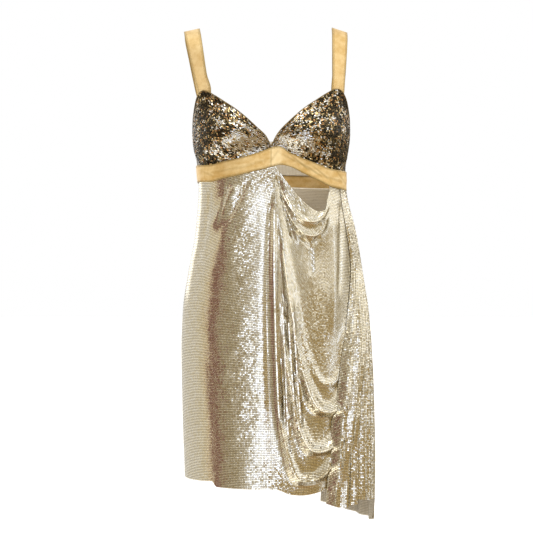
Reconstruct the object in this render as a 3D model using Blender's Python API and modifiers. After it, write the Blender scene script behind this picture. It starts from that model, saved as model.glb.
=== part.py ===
"""Metal mesh mini dress in its worn shape, hollow, held up at the two shoulder straps.

Metres, +Z up, front towards -Y, +X on the wearer's left. The origin lies between the tops of the straps.
Run with: blender --background --python part.py
"""

import math

import bpy
import numpy as np
from mathutils import Vector

# Driving dimensions
MESH_WALL = 0.0018  # linked metal plates on their rings
LEATHER_WALL = 0.0022
SEAM = 0.0003  # gap between sewn pieces
TUCK = 0.006  # how far a panel runs in behind the band
FACET = 0.0004  # how far a flat facet may fall inside the curve it follows
CLEAR = 0.002  # how far from the band a panel starts to stand out
STRAP_WIDTH = 0.030
STRAP_CELLS = 24  # along a strap
SEAM_HALF_ANGLE = 0.15  # half the gap of a vertical seam, in degrees
BAND_FADE = 0.024  # below the band, where the front's folds have come to their full depth
CUP_FADE = 0.030  # above the band, where the cups have come to their full depth

# The body of the dress as level rings: half widths towards -X and +X, depth to the front and to the back,
# and how square the ring is (2 is an ellipse).
RINGS = {
    "height": (-0.910, -0.830, -0.700, -0.580, -0.512, -0.450, -0.370, -0.290, -0.250, -0.185, -0.150, -0.110),
    "left": (0.1575, 0.1590, 0.1635, 0.1655, 0.1625, 0.1530, 0.1390, 0.1335, 0.1365, 0.1410, 0.1425, 0.1500),
    "right": (0.1600, 0.1620, 0.1660, 0.1670, 0.1650, 0.1590, 0.1500, 0.1370, 0.1375, 0.1420, 0.1435, 0.1500),
    "front": (0.1360, 0.1370, 0.1360, 0.1340, 0.1310, 0.1250, 0.1130, 0.1000, 0.0960, 0.0960, 0.0930, 0.0880),
    "back": (0.1180, 0.1190, 0.1220, 0.1230, 0.1190, 0.1060, 0.0900, 0.0900, 0.0930, 0.1000, 0.1010, 0.1000),
    "square": (2.20, 2.20, 2.20, 2.20, 2.20, 2.20, 2.25, 2.35, 2.45, 2.60, 2.70, 2.80),
}

# The underbust band, by distance from the centre front: its lower edge and its width.
BAND = {
    "x": (-0.1335, -0.111, -0.085, -0.061, -0.037, -0.013, 0.000, 0.018, 0.035, 0.059, 0.083, 0.108, 0.1370),
    "bottom": (-0.2830, -0.2845, -0.2785, -0.2740, -0.2680, -0.2625, -0.2590, -0.2555, -0.2590, -0.2705, -0.2820,
               -0.2935, -0.2985),
    "width": (0.0310, 0.0310, 0.0305, 0.0310, 0.0315, 0.0335, 0.0350, 0.0325, 0.0250, 0.0275, 0.0300, 0.0325,
              0.0350),
}

# Upper edge of the cups, by angle from the centre front (degrees), for the wearer's left cup.
CUP_EDGE = {
    "angle": (0.0, 6.7, 20.7, 33.8, 45.5, 54.0, 58.5, 62.0, 65.5, 69.0, 75.0, 82.0, 90.0),
    "height": (-0.2215, -0.2001, -0.1738, -0.1522, -0.1355, -0.1230, -0.1175, -0.1165, -0.1205, -0.1280, -0.1440,
               -0.1630, -0.1800),
}
CUP_EDGE_DROP = 0.0045  # the neckline of the right cup lies this much lower
BUST = {"x": 0.074, "z": -0.200, "spread_x": 0.050, "spread_z": 0.042, "lift": 0.028}

# The free edge of the opening under the band at the wearer's left, and the hem of the front.
CUTOUT = {
    "x": (0.0060, 0.0109, 0.0349, 0.0589, 0.0732, 0.0829, 0.0924, 0.0949, 0.1020, 0.1069),
    "height": (-0.2560, -0.2624, -0.2948, -0.3235, -0.3355, -0.3391, -0.3355, -0.3308, -0.3113, -0.2970),
}
FRONT_HEM = {
    "x": (-0.159, -0.120, -0.104, -0.096, -0.050, 0.010, 0.035, 0.056, 0.080, 0.104, 0.118, 0.162),
    "height": (-0.8230, -0.8215, -0.8205, -0.8300, -0.8315, -0.8325, -0.8415, -0.8430, -0.8395, -0.8300, -0.8220,
               -0.8200),
}

# U-shaped swags of the front: where each starts, its lowest point and where it ends at the wearer's left hip.
SWAGS = (
    # name, left x, left z, low x, low z, right x, right z, lift, width inside, width outside
    ("cowl_upper", 0.012, -0.284, 0.068, -0.357, 0.101, -0.317, 0.0050, 0.0065, 0.0045),
    ("cowl_lower", 0.015, -0.302, 0.071, -0.382, 0.099, -0.338, 0.0050, 0.0065, 0.0045),
    ("great_inner", 0.026, -0.375, 0.098, -0.648, 0.139, -0.500, 0.0025, 0.0080, 0.0060),
    ("great", 0.006, -0.277, 0.094, -0.695, 0.154, -0.492, 0.0120, 0.0115, 0.0065),
    ("second", 0.014, -0.515, 0.075, -0.764, 0.140, -0.650, 0.0110, 0.0100, 0.0060),
    ("third", 0.011, -0.675, 0.054, -0.816, 0.120, -0.742, 0.0090, 0.0100, 0.0060),
)

# Long folds of the front from their top, through a middle point, to their foot. A groove has a negative lift.
FALLS = (
    # name, top x, top z, middle x, middle z, foot x, foot z, width at top, width at foot, lift
    ("light_ridge", -0.009, -0.288, -0.010, -0.480, -0.016, -0.720, 0.0090, 0.0160, 0.0055),
    ("gold_groove", 0.002, -0.290, -0.009, -0.500, -0.001, -0.740, 0.0050, 0.0065, -0.0035),
    ("inner_ridge", 0.006, -0.285, 0.007, -0.530, 0.018, -0.775, 0.0050, 0.0070, 0.0045),
    ("inner_groove", 0.013, -0.345, 0.024, -0.530, 0.023, -0.745, 0.0045, 0.0050, -0.0035),
    ("pleat_1", 0.018, -0.480, 0.025, -0.625, 0.030, -0.765, 0.0040, 0.0045, 0.0035),
    ("pleat_2", 0.028, -0.500, 0.036, -0.640, 0.040, -0.745, 0.0040, 0.0045, 0.0035),
    ("pleat_3", 0.033, -0.480, 0.046, -0.650, 0.051, -0.735, 0.0040, 0.0045, 0.0035),
    ("deep_groove", 0.009, -0.270, 0.026, -0.330, 0.044, -0.404, 0.0050, 0.0060, -0.0055),
    ("drag_groove_1", -0.075, -0.282, -0.084, -0.318, -0.093, -0.355, 0.0035, 0.0040, -0.0030),
    ("drag_ridge", -0.058, -0.288, -0.089, -0.335, -0.118, -0.378, 0.0035, 0.0045, 0.0030),
    ("drag_groove_2", -0.037, -0.276, -0.058, -0.318, -0.080, -0.360, 0.0035, 0.0045, -0.0032),
    ("broad_drag", -0.023, -0.302, -0.070, -0.377, -0.102, -0.480, 0.0110, 0.0220, 0.0040),
    ("side_crease", -0.111, -0.295, -0.121, -0.382, -0.142, -0.445, 0.0040, 0.0060, -0.0018),
    ("notch_left", 0.044, -0.375, 0.059, -0.391, 0.072, -0.404, 0.0035, 0.0035, -0.0030),
    ("notch_right", 0.096, -0.352, 0.084, -0.379, 0.072, -0.404, 0.0035, 0.0035, -0.0030),
    ("notch_tail", 0.072, -0.398, 0.072, -0.426, 0.073, -0.455, 0.0035, 0.0040, -0.0030),
    ("side_ridge", 0.112, -0.330, 0.113, -0.445, 0.111, -0.570, 0.0090, 0.0110, 0.0035),
    ("side_groove", 0.125, -0.315, 0.125, -0.400, 0.120, -0.500, 0.0040, 0.0050, -0.0025),
)

# Soft fullness of the front, as round swellings.
FULLNESS = (
    # name, x, z, spread x, spread z, lift
    ("cowl", 0.066, -0.345, 0.038, 0.040, 0.0090),
    ("great_swag", 0.092, -0.670, 0.045, 0.095, 0.0080),
    ("low_swags", 0.070, -0.780, 0.042, 0.055, 0.0090),
    ("left_hang", -0.060, -0.850, 0.080, 0.160, 0.0040),
)

# The waterfall of folds at the wearer's left hip, by height: its edges in degrees, its stand-off, its fold depth.
FALL_RINGS = {
    "height": (-0.905, -0.830, -0.740, -0.650, -0.590, -0.530, -0.480, -0.430, -0.390, -0.350, -0.298),
    "inner": (40.0, 40.5, 42.0, 47.5, 52.0, 58.0, 64.0, 69.0, 68.5, 67.5, 68.5),
    "outer": (140.0, 138.0, 134.0, 130.0, 127.0, 124.0, 121.0, 118.0, 116.0, 114.0, 112.0),
    "standoff": (0.0160, 0.0155, 0.0120, 0.0080, 0.0055, 0.0035, 0.0025, 0.0020, 0.0015, 0.0010, 0.0000),
    "fold": (1.00, 1.00, 1.00, 0.95, 0.85, 0.65, 0.45, 0.28, 0.16, 0.08, 0.00),
}
# Ridges and grooves across the waterfall, from its front edge (0) to its back edge (1), and the hem below each.
FALL_FOLDS = {
    "place": (0.00, 0.025, 0.060, 0.095, 0.130, 0.165, 0.205, 0.245, 0.285, 0.325, 0.370, 0.415, 0.465, 0.515,
              0.570, 0.625, 0.685, 0.745, 0.810, 0.870, 0.930, 1.00),
    "depth": (0.0040, 0.0080, 0.0015, 0.0075, 0.0020, 0.0085, 0.0000, 0.0095, 0.0020, 0.0080, 0.0015, 0.0090,
              0.0010, 0.0085, 0.0015, 0.0080, 0.0010, 0.0065, 0.0010, 0.0040, 0.0010, 0.0000),
}
FALL_HEM = {
    "place": (0.00, 0.060, 0.165, 0.205, 0.300, 0.415, 0.440, 0.600, 0.800, 1.00),
    "height": (-0.8600, -0.8660, -0.8620, -0.8560, -0.8600, -0.8640, -0.9020, -0.9060, -0.9000, -0.8880),
}
FALL_EDGE = 0.07  # share of the waterfall over which it comes in to lie on the skirt at its front edge
BACK_FLUTES = {"count": 7, "depth": 0.0045}
BACK_DROP = 0.008  # how much lower the hem is at the centre back than at the seams

# Centre line of the straps above the cups: x for each side, y, z, and how the strap faces (degrees).
STRAP = {
    "place": ("chest", "collar", "front_slope", "shoulder", "back_slope", "blade", "low_blade"),
    "right_x": (-0.1290, -0.1375, -0.1435, -0.1465, -0.1462, -0.1415, -0.1325),
    "left_x": (0.1235, 0.1252, 0.1264, 0.1270, 0.1290, 0.1296, 0.1280),
    "y": (-0.0585, -0.0480, -0.0280, 0.0020, 0.0300, 0.0500, 0.0620),
    "z": (-0.0900, -0.0450, -0.0130, 0.0000, -0.0130, -0.0500, -0.1060),
    "turn": (38.0, 24.0, 10.0, 0.0, -14.0, -34.0, -48.0),
    "right_drop": (2.0, 7.0, 11.0, 12.0, 11.0, 7.0, 3.0),
    "left_drop": (2.0, 9.0, 15.0, 18.0, 15.0, 9.0, 3.0),
}
STRAP_FRONT = {"angle": 63.0, "heights": (-0.140, -0.128, -0.117)}  # the end sewn behind the cup
STRAP_BACK = {"angle": 116.0, "heights": (-0.150, -0.180, -0.205)}  # the end sewn behind the low back
BACK_EDGE = {"side": -0.1800, "middle": -0.2000}

# The closure at the centre back: the tab's ends in degrees, its margin to the band's edges, and the press studs.
TAB = {"from": 172.0, "to": 188.0, "cells": 6, "margin": 0.006}
STUD = {"angles": (176.3, 183.7), "radius": 0.0042, "height": 0.0016, "seat": 0.0012}

MATERIALS = {
    "plain_mesh": ((0.72, 0.66, 0.48), 0.28, 1.0),
    "printed_mesh": ((0.24, 0.19, 0.11), 0.35, 1.0),
    "gold_leather": ((0.62, 0.42, 0.16), 0.42, 0.35),
    "stud_brass": ((0.78, 0.60, 0.28), 0.30, 1.0),
}

# Columns shared by the band and the panels sewn to it, as (end of the stretch in degrees, cells), and rows
RIGHT_COLUMNS = ((-90, 0), (-52, 7), (-8, 12), (0, 3))
LEFT_COLUMNS = ((0, 0), (62, 26), (90, 5))
BACK_COLUMNS = ((90, 0), (180, 13), (270, 13))
ROWS = {"skirt_front": 27, "skirt_back": 10, "waterfall": 14, "cup": 6, "bodice": 3, "band": 2}


def smooth(x, knots, values):
    """Curve through the knots that keeps each turning point where the table has it."""
    x, knots, values = np.asarray(x, float), np.asarray(knots, float), np.asarray(values, float)
    step = np.diff(knots)
    rise = np.diff(values) / step
    slope = np.zeros(len(values))
    slope[0], slope[-1] = rise[0], rise[-1]
    both = rise[:-1] * rise[1:]
    turning = both <= 0
    total = np.where(turning, 1.0, rise[:-1] + rise[1:])
    slope[1:-1] = np.where(turning, 0.0, 2 * both / total)
    i = np.clip(np.searchsorted(knots, x) - 1, 0, len(step) - 1)
    u = np.clip((x - knots[i]) / step[i], 0, 1)
    start = (1 + 2 * u) * (1 - u) ** 2 * values[i] + u * (1 - u) ** 2 * step[i] * slope[i]
    end = u**2 * (3 - 2 * u) * values[i + 1] + u**2 * (u - 1) * step[i] * slope[i + 1]
    return start + end


def ease(x, low, high):
    """0 below low, 1 above high, smooth between."""
    u = np.clip((np.asarray(x, float) - low) / (high - low), 0, 1)
    return u * u * (3 - 2 * u)


def ring(name, z):
    return smooth(z, RINGS["height"], RINGS[name])


def on_form(angle, z, out=0.0):
    """Points at angles (radians from the centre front, + towards +X), moved out along the ring's normal."""
    angle, z, out = np.broadcast_arrays(np.asarray(angle, float), np.asarray(z, float), np.asarray(out, float))
    sine, cosine = np.sin(angle), np.cos(angle)
    half = np.where(sine < 0, ring("left", z), ring("right", z))
    depth = np.where(cosine > 0, ring("front", z), ring("back", z))
    square = ring("square", z)
    radius = (np.abs(sine / half) ** square + np.abs(cosine / depth) ** square) ** (-1 / square)
    x, y = radius * sine, -radius * cosine
    normal_x = np.sign(x) * np.abs(x / half) ** (square - 1) / half
    normal_y = np.sign(y) * np.abs(y / depth) ** (square - 1) / depth
    length = np.hypot(normal_x, normal_y)
    return np.stack([x + out * normal_x / length, y + out * normal_y / length, z], axis=-1)


def band_bottom(angle):
    """Height of the band's lower edge, all round."""
    angle = np.asarray(angle, float)
    x = on_form(angle, -0.285)[..., 0]
    front = smooth(x, BAND["x"], BAND["bottom"])
    behind = np.mod(angle, 2 * math.pi) / math.pi - 0.5  # 0 at the wearer's left seam, 1 at the right one
    back = BAND["bottom"][-1] + (BAND["bottom"][0] - BAND["bottom"][-1]) * np.clip(behind, 0, 1)
    return np.where(np.cos(angle) > 0, front, back)


def band_top(angle):
    angle = np.asarray(angle, float)
    x = on_form(angle, band_bottom(angle))[..., 0]
    width = smooth(x, BAND["x"], BAND["width"])
    behind = np.clip(np.mod(angle, 2 * math.pi) / math.pi - 0.5, 0, 1)
    back = BAND["width"][-1] + (BAND["width"][0] - BAND["width"][-1]) * behind
    return band_bottom(angle) + np.where(np.cos(angle) > 0, width, back)


def leg(u, lean):
    """How far across a hanging loop has come when it has fallen by u, both from 0 to 1."""
    return lean * u + (1 - lean) * (1 - (1 - np.clip(u, 0, 1) ** 3) ** (1 / 3))


def loop_path(left_x, left_z, low_x, low_z, right_x, right_z, points=13):
    """The U of a swag, from its left end through its lowest point to its right end."""
    u = np.sin(np.linspace(0, math.pi / 2, points))
    left = np.stack([left_x + (low_x - left_x) * leg(u, 0.5), left_z + (low_z - left_z) * u], axis=1)
    right = np.stack([right_x + (low_x - right_x) * leg(u, 0.35), right_z + (low_z - right_z) * u], axis=1)
    return np.concatenate([left, right[::-1][1:]])


def bow_path(top_x, top_z, middle_x, middle_z, foot_x, foot_z, points=9):
    u = np.linspace(0, 1, points)[:, None]
    top, middle, foot = np.array([(top_x, top_z), (middle_x, middle_z), (foot_x, foot_z)])
    pull = 2 * middle - (top + foot) / 2
    return (1 - u) ** 2 * top + 2 * u * (1 - u) * pull + u**2 * foot


def along(x, z, path):
    """Distance to the path, positive on its left-hand side, and the share of the path passed."""
    best = np.full(x.shape, np.inf)
    side, share = np.zeros(x.shape), np.zeros(x.shape)
    lengths = np.hypot(*np.diff(path, axis=0).T)
    passed = np.concatenate([[0], np.cumsum(lengths)]) / lengths.sum()
    for i, (a, b) in enumerate(zip(path[:-1], path[1:])):
        d = b - a
        u = np.clip(((x - a[0]) * d[0] + (z - a[1]) * d[1]) / (d @ d), 0, 1)
        away_x, away_z = x - a[0] - u * d[0], z - a[1] - u * d[1]
        distance = np.hypot(away_x, away_z)
        closer = distance < best
        best = np.where(closer, distance, best)
        side = np.where(closer, np.sign(d[0] * away_z - d[1] * away_x), side)
        share = np.where(closer, passed[i] + u * (passed[i + 1] - passed[i]), share)
    return best * np.where(side < 0, -1, 1), share


def front_relief(x, z):
    """How far the front stands out from the body rings at each point of the front view."""
    relief = np.zeros(np.shape(x))
    for _, centre_x, centre_z, spread_x, spread_z, lift in FULLNESS:
        relief += lift * np.exp(-((x - centre_x) / spread_x) ** 2 - ((z - centre_z) / spread_z) ** 2)
    for _, *points, lift, inside, outside in SWAGS:
        distance, share = along(x, z, loop_path(*points))
        width = np.where(distance > 0, inside, outside)
        width = width * (0.45 + 0.55 * ease(share, 0.0, 0.5))
        ends = ease(share, 0.0, 0.22) * (1 - ease(share, 0.86, 1.0))
        relief += lift * ends * np.exp(-((distance / width) ** 2))
    for _, *points, at_top, at_foot, lift in FALLS:
        distance, share = along(x, z, bow_path(*points))
        width = at_top + (at_foot - at_top) * share
        ends = ease(share, 0.0, 0.15) * (1 - ease(share, 0.8, 1.0))
        relief += lift * ends * np.exp(-((distance / width) ** 2))
    return relief


def front_out(angle, z):
    """The front panel's stand-off, which dies away at the band and at the side seams."""
    x = on_form(angle, z)[..., 0]
    below_band = ease(band_bottom(angle) - z, CLEAR, BAND_FADE)
    from_seam = ease(math.pi / 2 - np.abs(angle), math.radians(1), math.radians(13))
    return -SEAM + front_relief(x, z) * below_band * from_seam


def front_top(angle):
    """Upper edge of the front panel: tucked behind the band, or the free edge of the opening."""
    tucked = band_bottom(angle) + TUCK
    z = tucked
    for _ in range(5):  # the edge is given by x, which depends on the height
        x = on_form(angle, z)[..., 0]
        in_opening = (x > CUTOUT["x"][0]) & (x < CUTOUT["x"][-1])
        z = np.where(in_opening, np.minimum(smooth(x, CUTOUT["x"], CUTOUT["height"]), tucked), tucked)
    return z


def front_hem(angle):
    x = on_form(angle, -0.83)[..., 0]
    return smooth(x, FRONT_HEM["x"], FRONT_HEM["height"])


def columns(stretches):
    """Angles in radians, from a table of (end in degrees, cells), drawn in by half a seam at both ends."""
    angles = [stretches[0][0]]
    for (begin, _), (end, cells) in zip(stretches[:-1], stretches[1:]):
        angles += [begin + (end - begin) * (k + 1) / cells for k in range(cells)]
    angles = np.array(angles, float)
    return np.radians(np.clip(angles, angles[0] + SEAM_HALF_ANGLE, angles[-1] - SEAM_HALF_ANGLE))[None, :]


def rows(name):
    return np.linspace(0, 1, ROWS[name] + 1)[:, None]


def hang(top, hem, name):
    """Heights of a skirt panel's rows: its tucked edge, one just clear of the band, and even rows to the hem."""
    clear = top - TUCK - CLEAR
    return np.concatenate([top, clear + (hem - clear) * rows(name)])


def stand(top, angle, name):
    """Heights of a bodice panel's rows: even rows down to just above the band, and its tucked edge."""
    clear = band_top(angle) + CLEAR
    return np.concatenate([top + (clear - top) * rows(name), band_top(angle) - TUCK])


def front_panel():
    angle = columns(RIGHT_COLUMNS + LEFT_COLUMNS[1:])
    z = hang(front_top(angle), front_hem(angle), "skirt_front")
    return on_form(angle, z, front_out(angle, z))


def back_out(angle, z):
    behind = np.mod(angle, 2 * math.pi) / math.pi - 0.5
    flute = 0.5 - 0.5 * np.cos(2 * math.pi * BACK_FLUTES["count"] * behind)
    fade = ease(-z, 0.34, 0.62)
    return -SEAM + BACK_FLUTES["depth"] * flute * fade


def back_hem(angle):
    behind = np.mod(angle, 2 * math.pi) / math.pi - 0.5
    left, right = FRONT_HEM["height"][-1], FRONT_HEM["height"][0]
    return left + (right - left) * behind - BACK_DROP * np.sin(math.pi * behind)


def back_panel():
    angle = columns(BACK_COLUMNS)
    z = hang(band_bottom(angle) + TUCK, back_hem(angle), "skirt_back")
    return on_form(angle, z, back_out(angle, z))


def fall_places(cells_between=2):
    """Columns of the waterfall: each ridge and groove, and even steps between."""
    knots = FALL_FOLDS["place"]
    steps = [np.linspace(a, b, cells_between + 1) for a, b in zip(knots[:-1], knots[1:])]
    return np.unique(np.concatenate(steps))


def waterfall():
    """The folds that hang at the wearer's left hip, outside the skirt."""
    place = fall_places()[None, :]
    share = rows("waterfall")
    hem = smooth(place, FALL_HEM["place"], FALL_HEM["height"])
    heights = FALL_RINGS["height"]
    z = -0.30 + (hem + 0.30) * share
    for _ in range(3):  # the top follows the band, whose height depends on the angle
        inner, outer = (smooth(z, heights, FALL_RINGS[name]) for name in ("inner", "outer"))
        angle = np.radians(inner + (outer - inner) * place)
        top = band_bottom(angle[:1]) - SEAM
        z = top + (hem - top) * share
    under = np.where(angle < math.pi / 2, front_out(angle, z), back_out(angle, z))
    away = ease(place, 0, FALL_EDGE)
    clear = FACET + CLEAR * ease(-z, 0.31, 0.42) * (0.5 + 0.5 * away)
    fold = smooth(place, FALL_FOLDS["place"], FALL_FOLDS["depth"]) * smooth(z, heights, FALL_RINGS["fold"])
    out = under + MESH_WALL + clear + away * smooth(z, heights, FALL_RINGS["standoff"]) + fold
    return on_form(angle, z, out)


def cup_out(x, z, angle):
    """Fullness of the cups, which dies away at the band."""
    across, up = (np.abs(x) - BUST["x"]) / BUST["spread_x"], (z - BUST["z"]) / BUST["spread_z"]
    mound = BUST["lift"] * np.exp(-(across**2) - up**2)
    return -SEAM + mound * ease(z - band_top(angle), CLEAR, CUP_FADE)


def cup(side):
    """One cup, from the centre front to the side seam. side is -1 for the wearer's right, 1 for the left."""
    angle = columns(RIGHT_COLUMNS if side < 0 else LEFT_COLUMNS)
    away = np.degrees(np.abs(angle))
    top = smooth(away, CUP_EDGE["angle"], CUP_EDGE["height"])
    if side < 0:
        top = top - CUP_EDGE_DROP * ease(away, 2, 15) * (1 - ease(away, 56, 69))
    z = stand(top, angle, "cup")
    x = on_form(angle, z)[..., 0]
    return on_form(angle, z, cup_out(x, z, angle))


def back_bodice(side):
    """Half of the low back above the band, from the side seam to the centre back."""
    angle = columns(half_back(side))
    from_side = 1 - np.abs(angle - math.pi) / (math.pi / 2)
    top = BACK_EDGE["side"] + (BACK_EDGE["middle"] - BACK_EDGE["side"]) * ease(from_side, 0, 1)
    z = stand(top, angle, "bodice")
    return on_form(angle, z, -SEAM)


def half_back(side):
    return BACK_COLUMNS[:2] if side > 0 else ((180, 0), BACK_COLUMNS[2])


def band_piece(stretches):
    """A length of the band, lying over the panels' edges."""
    angle = columns(stretches)
    low, high = band_bottom(angle), band_top(angle)
    return on_form(angle, high + (low - high) * rows("band"), LEATHER_WALL)


def strap_end(side, angle, heights, panel_out):
    """Rows of a strap that lie behind a panel: inner edge, middle and outer edge at each height."""
    ends = []
    for z in heights:
        middle = on_form(side * angle, z)
        half = STRAP_WIDTH / 2 / math.hypot(middle[0], middle[1]) * math.copysign(1, math.cos(angle))
        across = side * (angle + half * np.array([-1.0, 0.0, 1.0]))
        x = on_form(across, z)[:, 0]
        ends.append(on_form(across, z, panel_out(x, z, across) - MESH_WALL - SEAM - FACET))
    return ends


def strap(side):
    """One strap from behind the cup, over the shoulder, to behind the back. Its rows run front to back."""
    word = "right" if side < 0 else "left"
    ahead = strap_end(side, math.radians(STRAP_FRONT["angle"]), STRAP_FRONT["heights"], cup_out)
    arch = []
    for x, y, z, turn, drop in zip(*(STRAP[name] for name in (f"{word}_x", "y", "z", "turn", f"{word}_drop"))):
        turn, drop = math.radians(turn), math.radians(drop)
        level = math.cos(drop)
        across = np.array([side * math.cos(turn) * level, math.sin(turn) * level, -math.sin(drop)])
        centre = np.array([x, y, z])
        arch.append([centre - across * STRAP_WIDTH / 2, centre, centre + across * STRAP_WIDTH / 2])
    behind = strap_end(side, math.radians(STRAP_BACK["angle"]), STRAP_BACK["heights"], lambda x, z, a: -SEAM)
    knots = np.array(ahead + arch + behind)
    steps = np.concatenate([[0], np.cumsum(np.linalg.norm(np.diff(knots[:, 1], axis=0), axis=1))])
    at = np.linspace(0, steps[-1], STRAP_CELLS + 1)
    grid = np.stack([[smooth(at, steps, knots[:, c, k]) for k in range(3)] for c in range(3)])
    return np.transpose(grid, (2, 0, 1))[:, ::-side]


def make_material(name):
    colour, roughness, metallic = MATERIALS[name]
    material = bpy.data.materials.new(name)
    material.use_nodes = True
    shader = material.node_tree.nodes["Principled BSDF"]
    shader.inputs["Base Color"].default_value = (*colour, 1.0)
    shader.inputs["Roughness"].default_value = roughness
    shader.inputs["Metallic"].default_value = metallic
    material.diffuse_color = (*colour, 1.0)
    return material


def shell(name, grid, wall, material, collection):
    """A wall whose outer face runs through the grid (rows downwards, columns towards +X seen from outside)."""
    rows, cols = grid.shape[:2]
    faces = [
        (r * cols + c, (r + 1) * cols + c, (r + 1) * cols + c + 1, r * cols + c + 1)
        for r in range(rows - 1)
        for c in range(cols - 1)
    ]
    mesh = bpy.data.meshes.new(name)
    mesh.from_pydata([tuple(p) for p in grid.reshape(-1, 3)], [], faces)
    mesh.materials.append(material)
    mesh.shade_smooth()
    obj = bpy.data.objects.new(name, mesh)
    collection.objects.link(obj)
    thick = obj.modifiers.new("wall", "SOLIDIFY")
    thick.thickness = wall
    thick.offset = -1.0
    return obj


def stud(name, centre, normal, material, collection):
    """A flat press stud cap on the closure tab."""
    bpy.ops.mesh.primitive_cylinder_add(vertices=20, radius=STUD["radius"], depth=STUD["height"])
    obj = bpy.context.object
    obj.name = name
    obj.data.name = name
    for other in obj.users_collection:
        other.objects.unlink(obj)
    collection.objects.link(obj)
    obj.location = centre
    obj.rotation_mode = "QUATERNION"
    obj.rotation_quaternion = normal.to_track_quat("Z", "Y")
    obj.data.materials.append(material)
    return obj


def closure(collection, materials):
    """Leather tab across the centre back of the band, with its two press studs."""
    angle = np.radians(np.linspace(TAB["from"], TAB["to"], TAB["cells"] + 1))[None, :]
    low, high = band_bottom(angle) + TAB["margin"], band_top(angle) - TAB["margin"]
    on_band = 2 * LEATHER_WALL + SEAM
    tab = on_form(angle, high + (low - high) * rows("band"), on_band)
    shell("closure_tab", tab, LEATHER_WALL, materials["gold_leather"], collection)
    for k, degrees in enumerate(STUD["angles"]):
        turn = math.radians(degrees)
        middle = float(band_bottom(turn) + band_top(turn)) / 2
        centre = Vector(on_form(turn, middle, on_band + STUD["seat"]))
        beyond = Vector(on_form(turn, middle, on_band + 2 * STUD["seat"]))
        stud(f"closure_stud_{k + 1}", centre, beyond - centre, materials["stud_brass"], collection)


def clear_scene():
    for obj in list(bpy.data.objects):
        bpy.data.objects.remove(obj)


def main():
    clear_scene()
    dress = bpy.data.collections.new("metal_mesh_dress")
    bpy.context.scene.collection.children.link(dress)
    materials = {name: make_material(name) for name in MATERIALS}
    mesh, printed, leather = (materials[n] for n in ("plain_mesh", "printed_mesh", "gold_leather"))
    shell("skirt_front", front_panel(), MESH_WALL, mesh, dress)
    shell("skirt_back", back_panel(), MESH_WALL, mesh, dress)
    shell("hip_waterfall", waterfall(), MESH_WALL, mesh, dress)
    shell("band_front", band_piece(RIGHT_COLUMNS + LEFT_COLUMNS[1:]), LEATHER_WALL, leather, dress)
    shell("band_back_left", band_piece(half_back(1)), LEATHER_WALL, leather, dress)
    shell("band_back_right", band_piece(half_back(-1)), LEATHER_WALL, leather, dress)
    for side, name in ((-1, "right"), (1, "left")):
        shell(f"cup_{name}", cup(side), MESH_WALL, printed, dress)
        shell(f"bodice_back_{name}", back_bodice(side), MESH_WALL, mesh, dress)
        shell(f"strap_{name}", strap(side), LEATHER_WALL, leather, dress)
    closure(dress, materials)


main()
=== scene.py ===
import math

import bpy
import numpy as np
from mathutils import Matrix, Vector


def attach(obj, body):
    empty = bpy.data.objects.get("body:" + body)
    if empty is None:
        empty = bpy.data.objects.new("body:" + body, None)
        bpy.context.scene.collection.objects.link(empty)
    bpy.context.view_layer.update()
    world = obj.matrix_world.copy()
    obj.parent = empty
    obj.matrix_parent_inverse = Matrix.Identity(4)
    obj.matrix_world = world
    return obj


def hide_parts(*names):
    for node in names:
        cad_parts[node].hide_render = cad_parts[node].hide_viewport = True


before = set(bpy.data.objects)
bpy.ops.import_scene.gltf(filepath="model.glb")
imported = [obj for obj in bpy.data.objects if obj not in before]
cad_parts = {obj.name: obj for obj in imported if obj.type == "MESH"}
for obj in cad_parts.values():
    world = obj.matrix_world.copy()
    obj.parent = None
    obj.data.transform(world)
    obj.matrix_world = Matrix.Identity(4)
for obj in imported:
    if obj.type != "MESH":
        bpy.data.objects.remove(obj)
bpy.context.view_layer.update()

print("frame loaded:", len(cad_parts), "solids")


def smoothCurve(x, knots, values):
    # a curve through the knots that keeps every turning point where the table has it
    x, knots, values = np.asarray(x, float), np.asarray(knots, float), np.asarray(values, float)
    step = np.diff(knots)
    rise = np.diff(values) / step
    slope = np.zeros(len(values))
    slope[0], slope[-1] = rise[0], rise[-1]
    both = rise[:-1] * rise[1:]
    total = np.where(both <= 0, 1.0, rise[:-1] + rise[1:])
    slope[1:-1] = np.where(both <= 0, 0.0, 2 * both / total)
    i = np.clip(np.searchsorted(knots, x) - 1, 0, len(step) - 1)
    u = np.clip((x - knots[i]) / step[i], 0, 1)
    start = (1 + 2 * u) * (1 - u) ** 2 * values[i] + u * (1 - u) ** 2 * step[i] * slope[i]
    end = u**2 * (3 - 2 * u) * values[i + 1] + u**2 * (u - 1) * step[i] * slope[i + 1]
    return start + end


def ease(x, low, high):
    u = np.clip((np.asarray(x, float) - low) / (high - low), 0, 1)
    return u * u * (3 - 2 * u)


def ripple(x, z, size, seed, waves=9):
    # slow random wobble of hanging cloth, about size metres from crest to crest, between -1 and 1
    draw = np.random.default_rng(seed)
    total = np.zeros(np.broadcast(x, z).shape)
    turns, shifts, scales = (draw.uniform(*ends, waves) for ends in ((0, 2 * math.pi), (0, 6.3), (0.6, 1.6)))
    for turn, shift, scale in zip(turns, shifts, scales):
        k = 2 * math.pi / (size * scale)
        total += np.sin(k * (x * math.cos(turn) + z * math.sin(turn)) + shift)
    return total / (waves / 2)


def mound(x, z, centreX, centreZ, spreadX, spreadZ):
    return np.exp(-((x - centreX) / spreadX) ** 2 - ((z - centreZ) / spreadZ) ** 2)


def unit(vectors):
    return vectors / np.maximum(np.linalg.norm(vectors, axis=-1, keepdims=True), 1e-12)


def passedAlong(line):
    # how much of a line has been passed at each of its points
    return np.concatenate([[0], np.cumsum(np.linalg.norm(np.diff(line, axis=0), axis=1))])


def pointsAt(line, passed, at):
    return np.stack([np.interp(at, passed, line[:, k]) for k in range(line.shape[1])], axis=1)


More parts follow.
